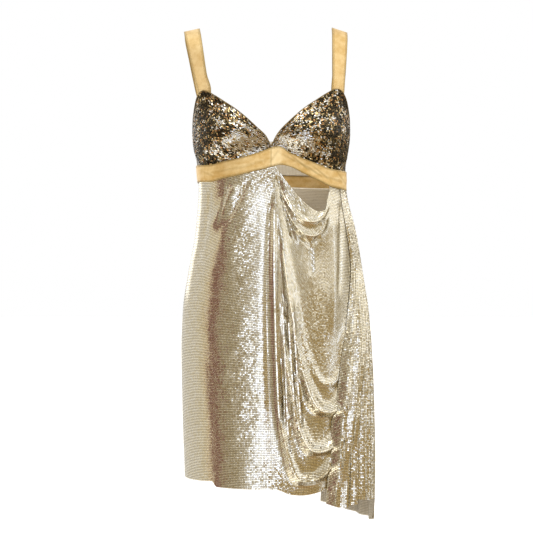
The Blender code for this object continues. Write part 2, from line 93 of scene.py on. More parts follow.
# the worn shape in level rings: half widths at the wearer's sides, half depths, and how square each ring is
body = {
    "height": (-0.910, -0.830, -0.700, -0.580, -0.512, -0.450, -0.370, -0.290, -0.250, -0.185, -0.150, -0.110),
    "left": (0.1575, 0.1590, 0.1635, 0.1655, 0.1625, 0.1530, 0.1390, 0.1335, 0.1365, 0.1410, 0.1425, 0.1500),
    "right": (0.1600, 0.1620, 0.1660, 0.1670, 0.1650, 0.1590, 0.1500, 0.1370, 0.1375, 0.1420, 0.1435, 0.1500),
    "front": (0.1360, 0.1370, 0.1360, 0.1340, 0.1310, 0.1250, 0.1130, 0.1000, 0.0960, 0.0960, 0.0930, 0.0880),
    "back": (0.1180, 0.1190, 0.1220, 0.1230, 0.1190, 0.1060, 0.0900, 0.0900, 0.0930, 0.1000, 0.1010, 0.1000),
    "square": (2.20, 2.20, 2.20, 2.20, 2.20, 2.20, 2.25, 2.35, 2.45, 2.60, 2.70, 2.80),
}
seam = 0.0003  # gap between sewn pieces
edgeGap = 0.15  # the same in degrees round the body, from the middle of a side seam
meshWall = 0.0018
leatherWall = 0.0022
platePitch = 0.00295  # from one metal plate to the next


def ringAt(name, z):
    return smoothCurve(z, body["height"], body[name])


def onForm(angle, z, out=0.0):
    # points at angles (radians from the centre front, + towards the wearer's left), moved out from the ring
    angle, z, out = np.broadcast_arrays(np.asarray(angle, float), np.asarray(z, float), np.asarray(out, float))
    sine, cosine = np.sin(angle), np.cos(angle)
    half = np.where(sine < 0, ringAt("left", z), ringAt("right", z))
    depth = np.where(cosine > 0, ringAt("front", z), ringAt("back", z))
    square = ringAt("square", z)
    radius = (np.abs(sine / half) ** square + np.abs(cosine / depth) ** square) ** (-1 / square)
    x, y = radius * sine, -radius * cosine
    normalX = np.sign(x) * np.abs(x / half) ** (square - 1) / half
    normalY = np.sign(y) * np.abs(y / depth) ** (square - 1) / depth
    length = np.hypot(normalX, normalY)
    return np.stack([x + out * normalX / length, y + out * normalY / length, z], axis=-1)


def panelSurface(start, end, topOf, footOf, outOf):
    # a panel between two angles in degrees, from its top edge to its foot
    def surface(across, down):
        # both run from 0 to 1 over the panel
        angle = np.radians(start + (end - start) * across)
        top, foot = topOf(angle), footOf(angle)
        z = top + (foot - top) * down
        return onForm(angle, z, outOf(angle, z))
    return surface


# underbust band
band = {
    "x": (-0.1335, -0.111, -0.085, -0.061, -0.037, -0.013, 0.000, 0.018, 0.035, 0.059, 0.083, 0.108, 0.1370),
    "bottom": (-0.2830, -0.2845, -0.2785, -0.2740, -0.2680, -0.2625, -0.2590, -0.2555, -0.2590, -0.2705, -0.2820,
               -0.2935, -0.2985),
    "width": (0.0310, 0.0310, 0.0305, 0.0310, 0.0315, 0.0335, 0.0350, 0.0325, 0.0250, 0.0275, 0.0300, 0.0325,
              0.0350),
    "level": -0.285,  # height at which the bottom edge is read off
    "tuck": 0.006,  # how far the mesh goes in behind it
    "clear": 0.002,
    "puff": 0.0004,
    "wobble": 0.00025,
    "rows": 14,
    # creases of the soft leather: x, z of the middle, slope, half length, half width, depth
    "creases": (
        (0.052, -0.2520, -0.85, 0.020, 0.0016, 0.0009), (0.072, -0.2640, -0.65, 0.022, 0.0018, 0.0010),
        (0.090, -0.2700, -0.80, 0.018, 0.0015, 0.0008), (0.034, -0.2440, -0.55, 0.016, 0.0018, 0.0007),
        (0.112, -0.2800, -0.25, 0.020, 0.0018, 0.0007), (-0.030, -0.2530, 0.30, 0.026, 0.0020, 0.0005),
        (-0.080, -0.2640, 0.16, 0.030, 0.0020, 0.0005), (-0.112, -0.2700, -0.50, 0.014, 0.0018, 0.0005),
        (0.006, -0.2400, 1.30, 0.014, 0.0016, 0.0006), (0.126, -0.2760, -1.20, 0.014, 0.0016, 0.0007),
    ),
}


def shareBehind(angle):
    # 0 at the left side seam, 1 at the right one
    return np.clip(np.mod(angle, 2 * math.pi) / math.pi - 0.5, 0, 1)


def bandTable(name, angle, z):
    # by the table in front, and even from side to side behind
    table = band[name]
    inFront = smoothCurve(onForm(angle, z)[..., 0], band["x"], table)
    behind = table[-1] + (table[0] - table[-1]) * shareBehind(angle)
    return np.where(np.cos(angle) > 0, inFront, behind)


def bandBottom(angle):
    return bandTable("bottom", angle, band["level"])


def bandTop(angle):
    bottom = bandBottom(angle)
    return bottom + bandTable("width", angle, bottom)


def leg(u, lean):
    # how far across a hanging loop has come when it has fallen by u, both from 0 to 1
    return lean * u + (1 - lean) * (1 - (1 - np.clip(u, 0, 1) ** 3) ** (1 / 3))


def loopPath(leftX, leftZ, lowX, lowZ, rightX, rightZ, points=25):
    u = np.sin(np.linspace(0, math.pi / 2, points))
    left = np.stack([leftX + (lowX - leftX) * leg(u, 0.5), leftZ + (lowZ - leftZ) * u], axis=1)
    right = np.stack([rightX + (lowX - rightX) * leg(u, 0.35), rightZ + (lowZ - rightZ) * u], axis=1)
    return np.concatenate([left, right[::-1][1:]])


def bowPath(topX, topZ, middleX, middleZ, footX, footZ, points=13):
    u = np.linspace(0, 1, points)[:, None]
    top, middle, foot = np.array([(topX, topZ), (middleX, middleZ), (footX, footZ)])
    pull = 2 * middle - (top + foot) / 2
    return (1 - u) ** 2 * top + 2 * u * (1 - u) * pull + u**2 * foot


def alongPath(x, z, path):
    # distance of each point to the path, positive on its inner side, and the share of the path passed
    best = np.full(x.shape, np.inf)
    side, share = np.zeros(x.shape), np.zeros(x.shape)
    passed = passedAlong(path)
    passed /= passed[-1]
    for i, (a, b) in enumerate(zip(path[:-1], path[1:])):
        d = b - a
        u = np.clip(((x - a[0]) * d[0] + (z - a[1]) * d[1]) / (d @ d), 0, 1)
        awayX, awayZ = x - a[0] - u * d[0], z - a[1] - u * d[1]
        distance = np.hypot(awayX, awayZ)
        closer = distance < best
        best = np.where(closer, distance, best)
        side = np.where(closer, np.sign(d[0] * awayZ - d[1] * awayX), side)
        share = np.where(closer, passed[i] + u * (passed[i + 1] - passed[i]), share)
    return best * np.where(side < 0, -1, 1), share


skirtFront = {
    "swags": (
        # left x, left z, low x, low z, right x, right z, lift, width inside, width outside
        (0.012, -0.284, 0.068, -0.357, 0.101, -0.317, 0.0050, 0.0065, 0.0045),
        (0.015, -0.302, 0.071, -0.382, 0.099, -0.338, 0.0050, 0.0065, 0.0045),
        (0.026, -0.375, 0.098, -0.648, 0.139, -0.500, 0.0025, 0.0080, 0.0060),
        (0.006, -0.277, 0.094, -0.695, 0.154, -0.492, 0.0115, 0.0110, 0.0074),
        (0.014, -0.515, 0.075, -0.764, 0.140, -0.650, 0.0105, 0.0095, 0.0068),
        (0.011, -0.675, 0.054, -0.816, 0.120, -0.742, 0.0085, 0.0095, 0.0065),
    ),
    "falls": (
        # top x, z, middle x, z, foot x, z, width at top, width at foot, lift (a groove has a negative one)
        (-0.010, -0.288, -0.013, -0.480, -0.016, -0.720, 0.0130, 0.0150, 0.0003),
        (0.003, -0.290, -0.007, -0.500, 0.000, -0.740, 0.0045, 0.0060, -0.0016),
        (0.006, -0.285, 0.007, -0.530, 0.018, -0.775, 0.0050, 0.0070, 0.0045),
        (0.013, -0.345, 0.024, -0.530, 0.023, -0.745, 0.0045, 0.0050, -0.0035),
        (0.018, -0.480, 0.025, -0.625, 0.030, -0.765, 0.0040, 0.0045, 0.0035),
        (0.028, -0.500, 0.036, -0.640, 0.040, -0.745, 0.0040, 0.0045, 0.0035),
        (0.033, -0.480, 0.046, -0.650, 0.051, -0.735, 0.0040, 0.0045, 0.0035),
        (0.009, -0.270, 0.026, -0.330, 0.044, -0.404, 0.0050, 0.0060, -0.0055),
        (-0.075, -0.282, -0.084, -0.318, -0.093, -0.355, 0.0030, 0.0035, -0.0016),
        (-0.058, -0.288, -0.089, -0.335, -0.118, -0.378, 0.0070, 0.0100, 0.0026),
        (-0.037, -0.276, -0.058, -0.318, -0.080, -0.360, 0.0035, 0.0045, -0.0018),
        (-0.023, -0.302, -0.070, -0.377, -0.102, -0.480, 0.0140, 0.0260, 0.0016),
        (-0.111, -0.295, -0.121, -0.382, -0.142, -0.445, 0.0040, 0.0060, -0.0018),
        (0.044, -0.375, 0.059, -0.391, 0.072, -0.404, 0.0035, 0.0035, -0.0030),
        (0.096, -0.352, 0.084, -0.379, 0.072, -0.404, 0.0035, 0.0035, -0.0030),
        (0.072, -0.398, 0.072, -0.426, 0.073, -0.455, 0.0035, 0.0040, -0.0030),
        (0.112, -0.330, 0.113, -0.445, 0.111, -0.570, 0.0090, 0.0110, 0.0035),
        (0.125, -0.315, 0.125, -0.400, 0.120, -0.500, 0.0040, 0.0050, -0.0025),
    ),
    "fullness": (
        # x, z, spread x, spread z, lift
        (0.066, -0.345, 0.038, 0.040, 0.0090),
        (0.092, -0.670, 0.045, 0.095, 0.0080),
        (0.070, -0.780, 0.042, 0.055, 0.0090),
        (-0.060, -0.850, 0.080, 0.160, 0.0040),
    ),
    "hemX": (-0.159, -0.120, -0.104, -0.096, -0.050, 0.010, 0.035, 0.056, 0.080, 0.104, 0.118, 0.162),
    "hem": (-0.8230, -0.8215, -0.8205, -0.8300, -0.8315, -0.8325, -0.8415, -0.8430, -0.8395, -0.8300, -0.8220,
            -0.8200),
    "cutoutX": (0.0060, 0.0109, 0.0349, 0.0589, 0.0732, 0.0829, 0.0924, 0.0949, 0.1020, 0.1069),
    "cutout": (-0.2560, -0.2624, -0.2948, -0.3235, -0.3355, -0.3391, -0.3355, -0.3308, -0.3113, -0.2970),
    "wobble": 0.0004,
    "wobbleSize": 0.055,
    "straight": (-0.013, 0.020, 0.8),  # x, half width and strength of the column that hangs straight
    # shares of its path over which a fold rises, and from which it dies away
    "swagEnds": (0.34, 0.86),
    "fallEnds": (0.15, 0.80),
    "narrow": 0.55,  # width of a swag where it starts, as a share of its full width
    "broad": 0.011,  # falls wider than this have flat crests
    "free": 0.024,  # depth below the band at which the folds are full
    "flatSeam": (1, 13),  # degrees from the side seam over which they grow
    "level": -0.83,  # height at which the hem is read off
    "rows": 190,
    "seed": 11,
}


def rising(share, rise, fade):
    return ease(share, 0.0, rise) * (1 - ease(share, fade, 1.0))


def frontRelief(x, z):
    middle, half, calm = skirtFront["straight"]
    relief = skirtFront["wobble"] * ripple(x, z, skirtFront["wobbleSize"], skirtFront["seed"])
    relief = relief * (1 - calm * np.exp(-((x - middle) / half) ** 2))
    for *place, lift in skirtFront["fullness"]:
        relief = relief + lift * mound(x, z, *place)
    for *points, lift, inside, outside in skirtFront["swags"]:
        distance, share = alongPath(x, z, loopPath(*points))
        grown = skirtFront["narrow"] + (1 - skirtFront["narrow"]) * ease(share, 0.0, 0.5)
        width = np.where(distance > 0, inside, outside) * grown
        relief = relief + lift * rising(share, *skirtFront["swagEnds"]) * np.exp(-((distance / width) ** 2))
    for *points, atTop, atFoot, lift in skirtFront["falls"]:
        distance, share = alongPath(x, z, bowPath(*points))
        profile = np.abs(distance / (atTop + (atFoot - atTop) * share)) ** (4 if atTop > skirtFront["broad"] else 2)
        relief = relief + lift * rising(share, *skirtFront["fallEnds"]) * np.exp(-profile)
    return relief


def frontOut(angle, z):
    belowBand = ease(bandBottom(angle) - z, band["clear"], skirtFront["free"])
    fromSeam = ease(math.pi / 2 - np.abs(angle), *np.radians(skirtFront["flatSeam"]))
    return -seam + frontRelief(onForm(angle, z)[..., 0], z) * belowBand * fromSeam


def frontTop(angle):
    tucked = bandBottom(angle) + band["tuck"]
    z = tucked
    for _ in range(6):
        x = onForm(angle, z)[..., 0]
        isOpen = (x > skirtFront["cutoutX"][0]) & (x < skirtFront["cutoutX"][-1])
        edge = np.minimum(smoothCurve(x, skirtFront["cutoutX"], skirtFront["cutout"]), tucked)
        z = np.where(isOpen, edge, tucked)
    return z


def frontHem(angle):
    return smoothCurve(onForm(angle, skirtFront["level"])[..., 0], skirtFront["hemX"], skirtFront["hem"])


frontSurface = panelSurface(-90 + edgeGap, 90 - edgeGap, frontTop, frontHem, frontOut)

skirtBack = {
    "flutes": 7,
    "flute": 0.0045,
    "fluteGrows": (0.34, 0.62),  # depths below the shoulders between which the flutes grow
    "wobble": 0.0009,
    "wobbleSize": 0.060,
    "wobbleGrows": (0.29, 0.34),
    "width": 0.45,
    "edge": 0.08,  # share of the width over which the wobble dies away at each side seam
    "drop": 0.008,
    "rows": 186,
    "seed": 23,
}


def backOut(angle, z):
    share = shareBehind(angle)
    flute = 0.5 - 0.5 * np.cos(2 * math.pi * skirtBack["flutes"] * share)
    edges = ease(share, 0, skirtBack["edge"]) * ease(1 - share, 0, skirtBack["edge"])
    wobble = skirtBack["wobble"] * ripple(share * skirtBack["width"], z, skirtBack["wobbleSize"], skirtBack["seed"])
    return (-seam + skirtBack["flute"] * flute * ease(-z, *skirtBack["fluteGrows"])
            + wobble * edges * ease(-z, *skirtBack["wobbleGrows"]))


def backTop(angle):
    return bandBottom(angle) + band["tuck"]


def backHem(angle):
    left, right = skirtFront["hem"][-1], skirtFront["hem"][0]
    share = shareBehind(angle)
    return left + (right - left) * share - skirtBack["drop"] * np.sin(math.pi * share)


backSurface = panelSurface(90 + edgeGap, 270 - edgeGap, backTop, backHem, backOut)

# waterfall of folds at the left hip; its edges are in degrees
hipFall = {
    "height": (-0.905, -0.830, -0.740, -0.650, -0.590, -0.530, -0.480, -0.430, -0.390, -0.350, -0.298),
    "inner": (40.0, 40.5, 42.0, 47.5, 52.0, 58.0, 64.0, 69.0, 68.5, 67.5, 68.5),
    "outer": (140.0, 138.0, 134.0, 130.0, 127.0, 124.0, 121.0, 118.0, 116.0, 114.0, 112.0),
    "standoff": (0.0160, 0.0155, 0.0120, 0.0080, 0.0055, 0.0035, 0.0025, 0.0020, 0.0015, 0.0010, 0.0000),
    "fold": (1.25, 1.25, 1.25, 1.20, 1.10, 0.90, 0.65, 0.42, 0.25, 0.12, 0.00),
    "place": (0.00, 0.032, 0.060, 0.095, 0.130, 0.165, 0.205, 0.245, 0.285, 0.325, 0.370, 0.415, 0.465, 0.515,
              0.570, 0.625, 0.685, 0.745, 0.810, 0.870, 0.930, 1.00),
    "depth": (0.0000, 0.0058, 0.0015, 0.0075, 0.0020, 0.0085, 0.0000, 0.0095, 0.0020, 0.0080, 0.0015, 0.0090,
              0.0010, 0.0085, 0.0015, 0.0080, 0.0010, 0.0065, 0.0010, 0.0040, 0.0010, 0.0000),
    "hemPlace": (0.00, 0.060, 0.165, 0.205, 0.300, 0.415, 0.440, 0.600, 0.800, 1.00),
    "hem": (-0.8600, -0.8660, -0.8620, -0.8560, -0.8600, -0.8640, -0.9020, -0.9060, -0.9000, -0.8880),
    "edge": 0.07,  # share of the panel over which it comes in to lie on the skirt
    "edgeRise": 0.0010,  # of its edge over the skirt
    "gap": 0.0004,  # between the skirt and the rest of it
    "slack": (0.002, 0.31, 0.42),  # how much further it stands off, and the depths between which that grows
    "top": -0.30,  # first guess of its top edge
    # the skin under it: degrees, heights and their step, how far a crest tells up and down, how closely it hugs
    "skinDegrees": (36, 90),
    "skinHeights": (-0.93, -0.27, 0.005),
    "skinReach": 0.040,
    "skinGrip": 500,
    "rows": 202,
}


def makeSkin():
    # a smooth skin that touches the crests of the swags, for the waterfall to hang on
    (first, last), (low, high, step) = hipFall["skinDegrees"], hipFall["skinHeights"]
    reach, grip = hipFall["skinReach"], hipFall["skinGrip"]
    angles, heights = np.radians(np.arange(first, last + 1)), np.arange(low, high, step)
    lifts = frontOut(angles[None, :], heights[:, None])
    total, shares = 0, 0
    for k in range(-int(reach / step), int(reach / step) + 1):
        share = math.exp(-2 * (k * step / reach) ** 2)
        total = total + share * np.exp(grip * lifts[np.clip(np.arange(len(heights)) + k, 0, len(heights) - 1)])
        shares += share
    return angles, heights, np.log(total / shares) / grip


skin = makeSkin()


def skinOut(angle, z):
    angles, heights, lifts = skin
    u = np.clip((angle - angles[0]) / (angles[1] - angles[0]), 0, len(angles) - 1.001)
    v = np.clip((z - heights[0]) / (heights[1] - heights[0]), 0, len(heights) - 1.001)
    i, j = u.astype(int), v.astype(int)
    u, v = u - i, v - j
    return ((1 - v) * ((1 - u) * lifts[j, i] + u * lifts[j, i + 1])
            + v * ((1 - u) * lifts[j + 1, i] + u * lifts[j + 1, i + 1]))


def hipSurface(across, down):
    across, down = np.broadcast_arrays(across, down)
    hem = smoothCurve(across, hipFall["hemPlace"], hipFall["hem"])

    def tableAt(name, z):
        return smoothCurve(z, hipFall["height"], hipFall[name])

    def angleAt(z):
        return np.radians(tableAt("inner", z) + (tableAt("outer", z) - tableAt("inner", z)) * across)

    top = np.full(across.shape, hipFall["top"])
    for _ in range(4):
        z = top + (hem - top) * down
        top = bandBottom(angleAt(top)) - seam
    angle = angleAt(z)
    away = ease(across, 0, hipFall["edge"])
    front = frontOut(angle, z)
    under = np.where(angle < math.pi / 2, front + away * (skinOut(angle, z) - front), backOut(angle, z))
    slack, *grows = hipFall["slack"]
    lift = meshWall + hipFall["gap"] + slack * ease(-z, *grows)
    rise = hipFall["edgeRise"] + away * (lift - hipFall["edgeRise"])
    fold = smoothCurve(across, hipFall["place"], hipFall["depth"]) * tableAt("fold", z)
    return onForm(angle, z, under + rise + away * tableAt("standoff", z) + fold)


# cups: the height of the top edge by degrees from the middle
cups = {
    "angle": (0.0, 6.7, 20.7, 33.8, 45.5, 54.0, 58.5, 62.0, 65.5, 69.0, 75.0, 82.0, 90.0),
    "height": (-0.2215, -0.2001, -0.1738, -0.1522, -0.1355, -0.1230, -0.1175, -0.1165, -0.1205, -0.1280, -0.1440,
               -0.1630, -0.1800),
    "rightDrop": 0.0045,
    "dropEnds": (2, 15, 56, 69),  # degrees over which the right cup's lower top edge comes in and goes out
    "bust": (0.074, -0.200, 0.050, 0.042),  # x, z, spread x, spread z
    "lift": 0.028,
    "free": 0.030,
    "rows": 48,
}
lowBack = {"side": -0.1800, "middle": -0.2000, "rows": 32}


def cupOut(angle, z):
    bust = mound(np.abs(onForm(angle, z)[..., 0]), z, *cups["bust"])
    return -seam + cups["lift"] * bust * ease(z - bandTop(angle), band["clear"], cups["free"])


def cupTop(angle):
    away = np.degrees(np.abs(angle))
    top = smoothCurve(away, cups["angle"], cups["height"])
    comes, full, goes, gone = cups["dropEnds"]
    lower = cups["rightDrop"] * ease(away, comes, full) * (1 - ease(away, goes, gone))
    return top - np.where(np.asarray(angle) < 0, lower, 0)


def lowBackOut(angle, z):
    return -seam


def lowBackTop(angle):
    fromSide = 1 - np.abs(angle - math.pi) / (math.pi / 2)
    return lowBack["side"] + (lowBack["middle"] - lowBack["side"]) * ease(fromSide, 0, 1)


def behindBand(angle):
    return bandTop(angle) - band["tuck"]


sides = ((-1, "Right"), (1, "Left"))
cupSurfaces = {word: panelSurface(side * edgeGap, side * (90 - edgeGap), cupTop, behindBand, cupOut)
               for side, word in sides}
lowBackSurfaces = {word: panelSurface(start + edgeGap, start + 90 - edgeGap, lowBackTop, behindBand, lowBackOut)
                   for word, start in (("Right", 180), ("Left", 90))}


def measureRows(surface, rows, flip, dense=1200):
    # fine points along each row of a panel, and how much cloth has been passed at each
    across = np.linspace(0, 1, dense)
    lines = surface(across[None, :], np.linspace(0, 1, rows + 1)[:, None])
    if flip:
        lines = lines[:, ::-1]
    steps = np.linalg.norm(np.diff(lines, axis=1), axis=2)
    return across, lines, np.concatenate([np.zeros((rows + 1, 1)), np.cumsum(steps, axis=1)], axis=1)


def pickPoints(lines, passed, at):
    return np.stack([pointsAt(*row) for row in zip(lines, passed, at)])


def clothGrid(across, lines, passed, stretches):
    # Corners of the plates, with equal steps along each row, measured on the folded cloth. A panel is one or
    # more stretches of columns: each is given by where its columns start and the two sides that it ends at, as
    # shares of the panel or as lines (heights, then x) down it, so that plates run down a fold in one line.
    rows = len(lines)

    def placeOf(line, r):
        if isinstance(line, float):
            return np.interp(line, across, passed[r])
        beyond = lines[r, :, 0] - smoothCurve(-lines[r, :, 2], line[0], line[1]) > 0
        return passed[r, int(np.argmax(beyond))] if beyond.any() else passed[r, -1]

    grids, kept = [], []
    for start, low, high in stretches:
        middle, first, last = (np.array([placeOf(line, r) for r in range(rows)]) for line in (start, low, high))
        before, after = (int(np.ceil(share.max() / platePitch)) for share in (middle - first, last - middle))
        at = middle[:, None] + platePitch * np.arange(-before, after + 1)[None, :]
        inside = (at > first[:, None] - platePitch) & (at < last[:, None] + platePitch)
        grid = pickPoints(lines, passed, np.clip(at, first[:, None], last[:, None]))
        grids += [grid, grid[:, -1:]]
        kept += [inside, np.zeros((rows, 1), bool)]
    return np.concatenate(grids, axis=1), np.concatenate(kept, axis=1)


def newObject(name, points, faces, smooth=False):
    mesh = bpy.data.meshes.new(name)
    faces = np.asarray(faces, np.int32)
    mesh.vertices.add(len(points))
    mesh.vertices.foreach_set("co", np.ascontiguousarray(points, np.float32).ravel())
    mesh.loops.add(faces.size)
    mesh.loops.foreach_set("vertex_index", faces.ravel())
    mesh.polygons.add(len(faces))
    sides = faces.shape[1]
    mesh.polygons.foreach_set("loop_start", np.arange(0, faces.size, sides, dtype=np.int32))
    mesh.polygons.foreach_set("loop_total", np.full(len(faces), sides, np.int32))
    mesh.update(calc_edges=True)
    if smooth:
        mesh.shade_smooth()
    obj = bpy.data.objects.new(name, mesh)
    bpy.context.scene.collection.objects.link(obj)
    return obj


def addMaps(obj, cells, cols, rows):
    # the map that counts plates, and the same from 0 to 1 over the panel
    for name, places in (("plateCells", cells), ("OFBake", cells / np.array([cols, rows], float))):
        layer = obj.data.uv_layers.new(name=name, do_init=False)
        layer.uv.foreach_set("vector", np.ascontiguousarray(places, np.float32).ravel())


plates = {
    "width": 0.95,  # of the pitch
    "height": 0.80,
    "lift": 0.00018,
    "lean": 0.5,  # how much whole patches lean together, as a share of how much each plate does by itself
    "leanSizes": (0.022, 0.020),  # of those patches, for the lean to the side and up or down
    "cell": (0.002, 0.998),  # what a plate covers of its cell in the map
}
ringNet = {"behind": 0.0003, "thickness": 0.0009}  # from the plates' corners back to the ring mesh, and its own


def addPlates(name, grid, inside, seed, tilt):
    r, c = np.nonzero(inside[:-1, :-1] & inside[:-1, 1:] & inside[1:, :-1] & inside[1:, 1:])
    a, b, d, e = grid[r, c], grid[r, c + 1], grid[r + 1, c], grid[r + 1, c + 1]
    centre = (a + b + d + e) / 4
    halves = [(b + e - a - d) / 4 * plates["width"], (d + e - a - b) / 4 * plates["height"]]
    normal = unit(np.cross(halves[1], halves[0]))
    draw = np.random.default_rng(seed)
    loose = tilt(centre[:, 0], centre[:, 2])
    for k, size in enumerate(plates["leanSizes"]):
        patches = plates["lean"] * ripple(c * platePitch, r * platePitch, size, seed + k)
        turn = np.radians(loose * (draw.normal(size=len(r)) + patches))
        halves[k] = halves[k] + (np.tan(turn) * np.linalg.norm(halves[k], axis=1))[:, None] * normal
    middle = centre + normal * plates["lift"]
    corners = [middle + s * halves[0] + t * halves[1] for s, t in ((-1, -1), (-1, 1), (1, 1), (1, -1))]
    points = np.stack(corners, axis=1).reshape(-1, 3)
    obj = newObject(name, points, np.arange(len(points)).reshape(-1, 4))
    low, high = plates["cell"]
    cells = np.stack([c[:, None] + np.array([low, low, high, high]),
                      r[:, None] + np.array([low, high, high, low])], axis=2)
    addMaps(obj, cells, grid.shape[1], grid.shape[0])
    return obj


def normalsOf(points):
    return unit(np.cross(np.gradient(points, axis=0), np.gradient(points, axis=1)))


def addGround(name, lines, passed):
    # the ring mesh behind the plates, as an even net over the whole panel
    cols = int(passed[:, -1].max() / platePitch + 0.5)
    net = pickPoints(lines, passed, passed[:, -1:] * np.linspace(0, 1, cols + 1)[None, :])
    net = net - ringNet["behind"] * normalsOf(net)
    r, c = (n.ravel() for n in np.meshgrid(np.arange(len(net) - 1), np.arange(cols), indexing="ij"))
    corners = [(r, c), (r + 1, c), (r + 1, c + 1), (r, c + 1)]
    faces = np.stack([i * (cols + 1) + j for i, j in corners], axis=1)
    obj = newObject(name, net.reshape(-1, 3), faces, smooth=True)
    cells = np.stack([np.stack([j, i], axis=1) for i, j in corners], axis=1).astype(float)
    addMaps(obj, cells, cols, len(net) - 1)
    thick = obj.modifiers.new("ringMesh", "SOLIDIFY")
    thick.thickness = ringNet["thickness"]
    thick.offset = -1.0
    thick.material_offset = 1
    thick.material_offset_rim = 2
    return obj


def newGroup(name, inputs, outputs):
    group = bpy.data.node_groups.new(name, "ShaderNodeTree")
    for label, kind, value in inputs:
        socket = group.interface.new_socket(label, in_out="INPUT", socket_type=kind)
        if value is not None:
            socket.default_value = value
    for label, kind in outputs:
        group.interface.new_socket(label, in_out="OUTPUT", socket_type=kind)
    return group, group.nodes.new("NodeGroupInput"), group.nodes.new("NodeGroupOutput")


def addNode(tree, kind, sets=None, **wires):
    node = tree.nodes.new("ShaderNode" + kind)
    for key, value in (sets or {}).items():
        if hasattr(node, key):
            setattr(node, key, value)
        else:
            node.inputs[key].default_value = value
    for key, source in wires.items():
        key = int(key[1:]) if key[0] == "i" and key[1:].isdigit() else key
        tree.links.new(source, node.inputs[key])
    return node


def setInput(tree, socket, value):
    # a number, a colour, or a wire from another node
    if isinstance(value, tuple):
        socket.default_value = (*value, 1.0)
    elif isinstance(value, (int, float)):
        socket.default_value = value
    else:
        tree.links.new(value, socket)


def doMath(tree, operation, a, b=0.0, clamp=False):
    node = tree.nodes.new("ShaderNodeMath")
    node.operation, node.use_clamp = operation, clamp
    for socket, value in zip(node.inputs, (a, b)):
        setInput(tree, socket, value)
    return node.outputs[0]


def scaled(tree, value, times, plus):
    return doMath(tree, "ADD", doMath(tree, "MULTIPLY", value, times), plus)


def ovalSquare(tree, *axes):
    # square of how far out a point is in an oval, 1 on its edge: each axis has a value, a middle and a half width
    squares = []
    for value, middle, half in axes:
        share = doMath(tree, "DIVIDE", doMath(tree, "SUBTRACT", value, middle), half)
        squares.append(doMath(tree, "MULTIPLY", share, share))
    return doMath(tree, "ADD", *squares)


def mixColour(tree, factor, a, b, blend="MIX"):
    node = tree.nodes.new("ShaderNodeMix")
    node.data_type, node.blend_type = "RGBA", blend
    sockets = {(s.name, s.type): s for s in node.inputs}
    for key, value in ((("Factor", "VALUE"), factor), (("A", "RGBA"), a), (("B", "RGBA"), b)):
        setInput(tree, sockets[key], value)
    return [s for s in node.outputs if s.type == "RGBA"][0]


def setStops(ramp, stops):
    for i, (at, tint) in enumerate(stops):
        stop = ramp.color_ramp.elements[i] if i < 2 else ramp.color_ramp.elements.new(at)
        stop.position, stop.color = at, (*tint, 1.0)


def onObject(tree, kind, sets=None):
    # a texture, or the three coordinates, in metres of the object itself
    return addNode(tree, kind, sets, Vector=addNode(tree, "TexCoord").outputs["Object"])


def makePlateGroup():
    # random values for each plate, its rim and its slightly domed face, from the map that counts plates
    group, given, out = newGroup(
        "plateFace",
        [("Cells", "NodeSocketVector", None), ("Rim", "NodeSocketFloat", 0.12)],
        [("Draw", "NodeSocketFloat"), ("Second Draw", "NodeSocketFloat"), ("Rim Mask", "NodeSocketFloat"),
         ("Height", "NodeSocketFloat")],
    )
    edges = []
    for part in addNode(group, "SeparateXYZ", Vector=given.outputs["Cells"]).outputs[:2]:
        share = doMath(group, "FRACT", part)
        edges.append(doMath(group, "MINIMUM", share, doMath(group, "SUBTRACT", 1.0, share)))
    whole = addNode(group, "VectorMath", {"operation": "FLOOR"}, i0=given.outputs["Cells"])
    for label, shift in (("Draw", (0.0, 0.0, 0.0)), ("Second Draw", (217.0, 91.0, 0.0))):
        moved = addNode(group, "VectorMath", {"operation": "ADD"}, i0=whole.outputs[0])
        moved.inputs[1].default_value = shift
        noise = addNode(group, "TexWhiteNoise", {"noise_dimensions": "2D"}, Vector=moved.outputs[0])
        group.links.new(noise.outputs["Value"], out.inputs[label])
    face = doMath(group, "DIVIDE", doMath(group, "MINIMUM", *edges), given.outputs["Rim"], clamp=True)
    group.links.new(doMath(group, "SUBTRACT", 1.0, face), out.inputs["Rim Mask"])
    group.links.new(doMath(group, "MULTIPLY", *edges), out.inputs["Height"])
    return group


def makeGrainGroup():
    # fine leather grain with soft blotches, in metres
    group, given, out = newGroup(
        "leatherGrain",
        [("Grain Size", "NodeSocketFloat", 1.0)],
        [("Grain", "NodeSocketFloat"), ("Blotch", "NodeSocketFloat")],
    )
    fine = onObject(group, "TexVoronoi", {"feature": "SMOOTH_F1", "Scale": 900.0})
    small = onObject(group, "TexNoise", {"Scale": 420.0, "Detail": 5.0})
    blotch = onObject(group, "TexNoise", {"Scale": 60.0, "Detail": 5.0, "Roughness": 0.70})
    grain = scaled(group, fine.outputs[0], given.outputs["Grain Size"], small.outputs[0])
    group.links.new(grain, out.inputs["Grain"])
    group.links.new(blotch.outputs[0], out.inputs["Blotch"])
    return group


plateFace = makePlateGroup()
leatherGrain = makeGrainGroup()


def newMaterial(name):
    material = bpy.data.materials.new(name)
    material.use_nodes = True
    return material, material.node_tree, material.node_tree.nodes["Principled BSDF"]


def useGroup(tree, group, values):
    node = tree.nodes.new("ShaderNodeGroup")
    node.node_tree = group
    for label, value in values.items():
        setInput(tree, node.inputs[label], value)
    return node


def setShader(tree, shader, colour, metallic, rough, bump=None):
    # bump has its strength, its distance in metres and the height
    for label, value in (("Base Color", colour), ("Metallic", metallic), ("Roughness", rough)):
        setInput(tree, shader.inputs[label], value)
    if bump:
        strength, distance, height = bump
        relief = addNode(tree, "Bump", {"Strength": strength, "Distance": distance}, Height=height)
        tree.links.new(relief.outputs[0], shader.inputs["Normal"])


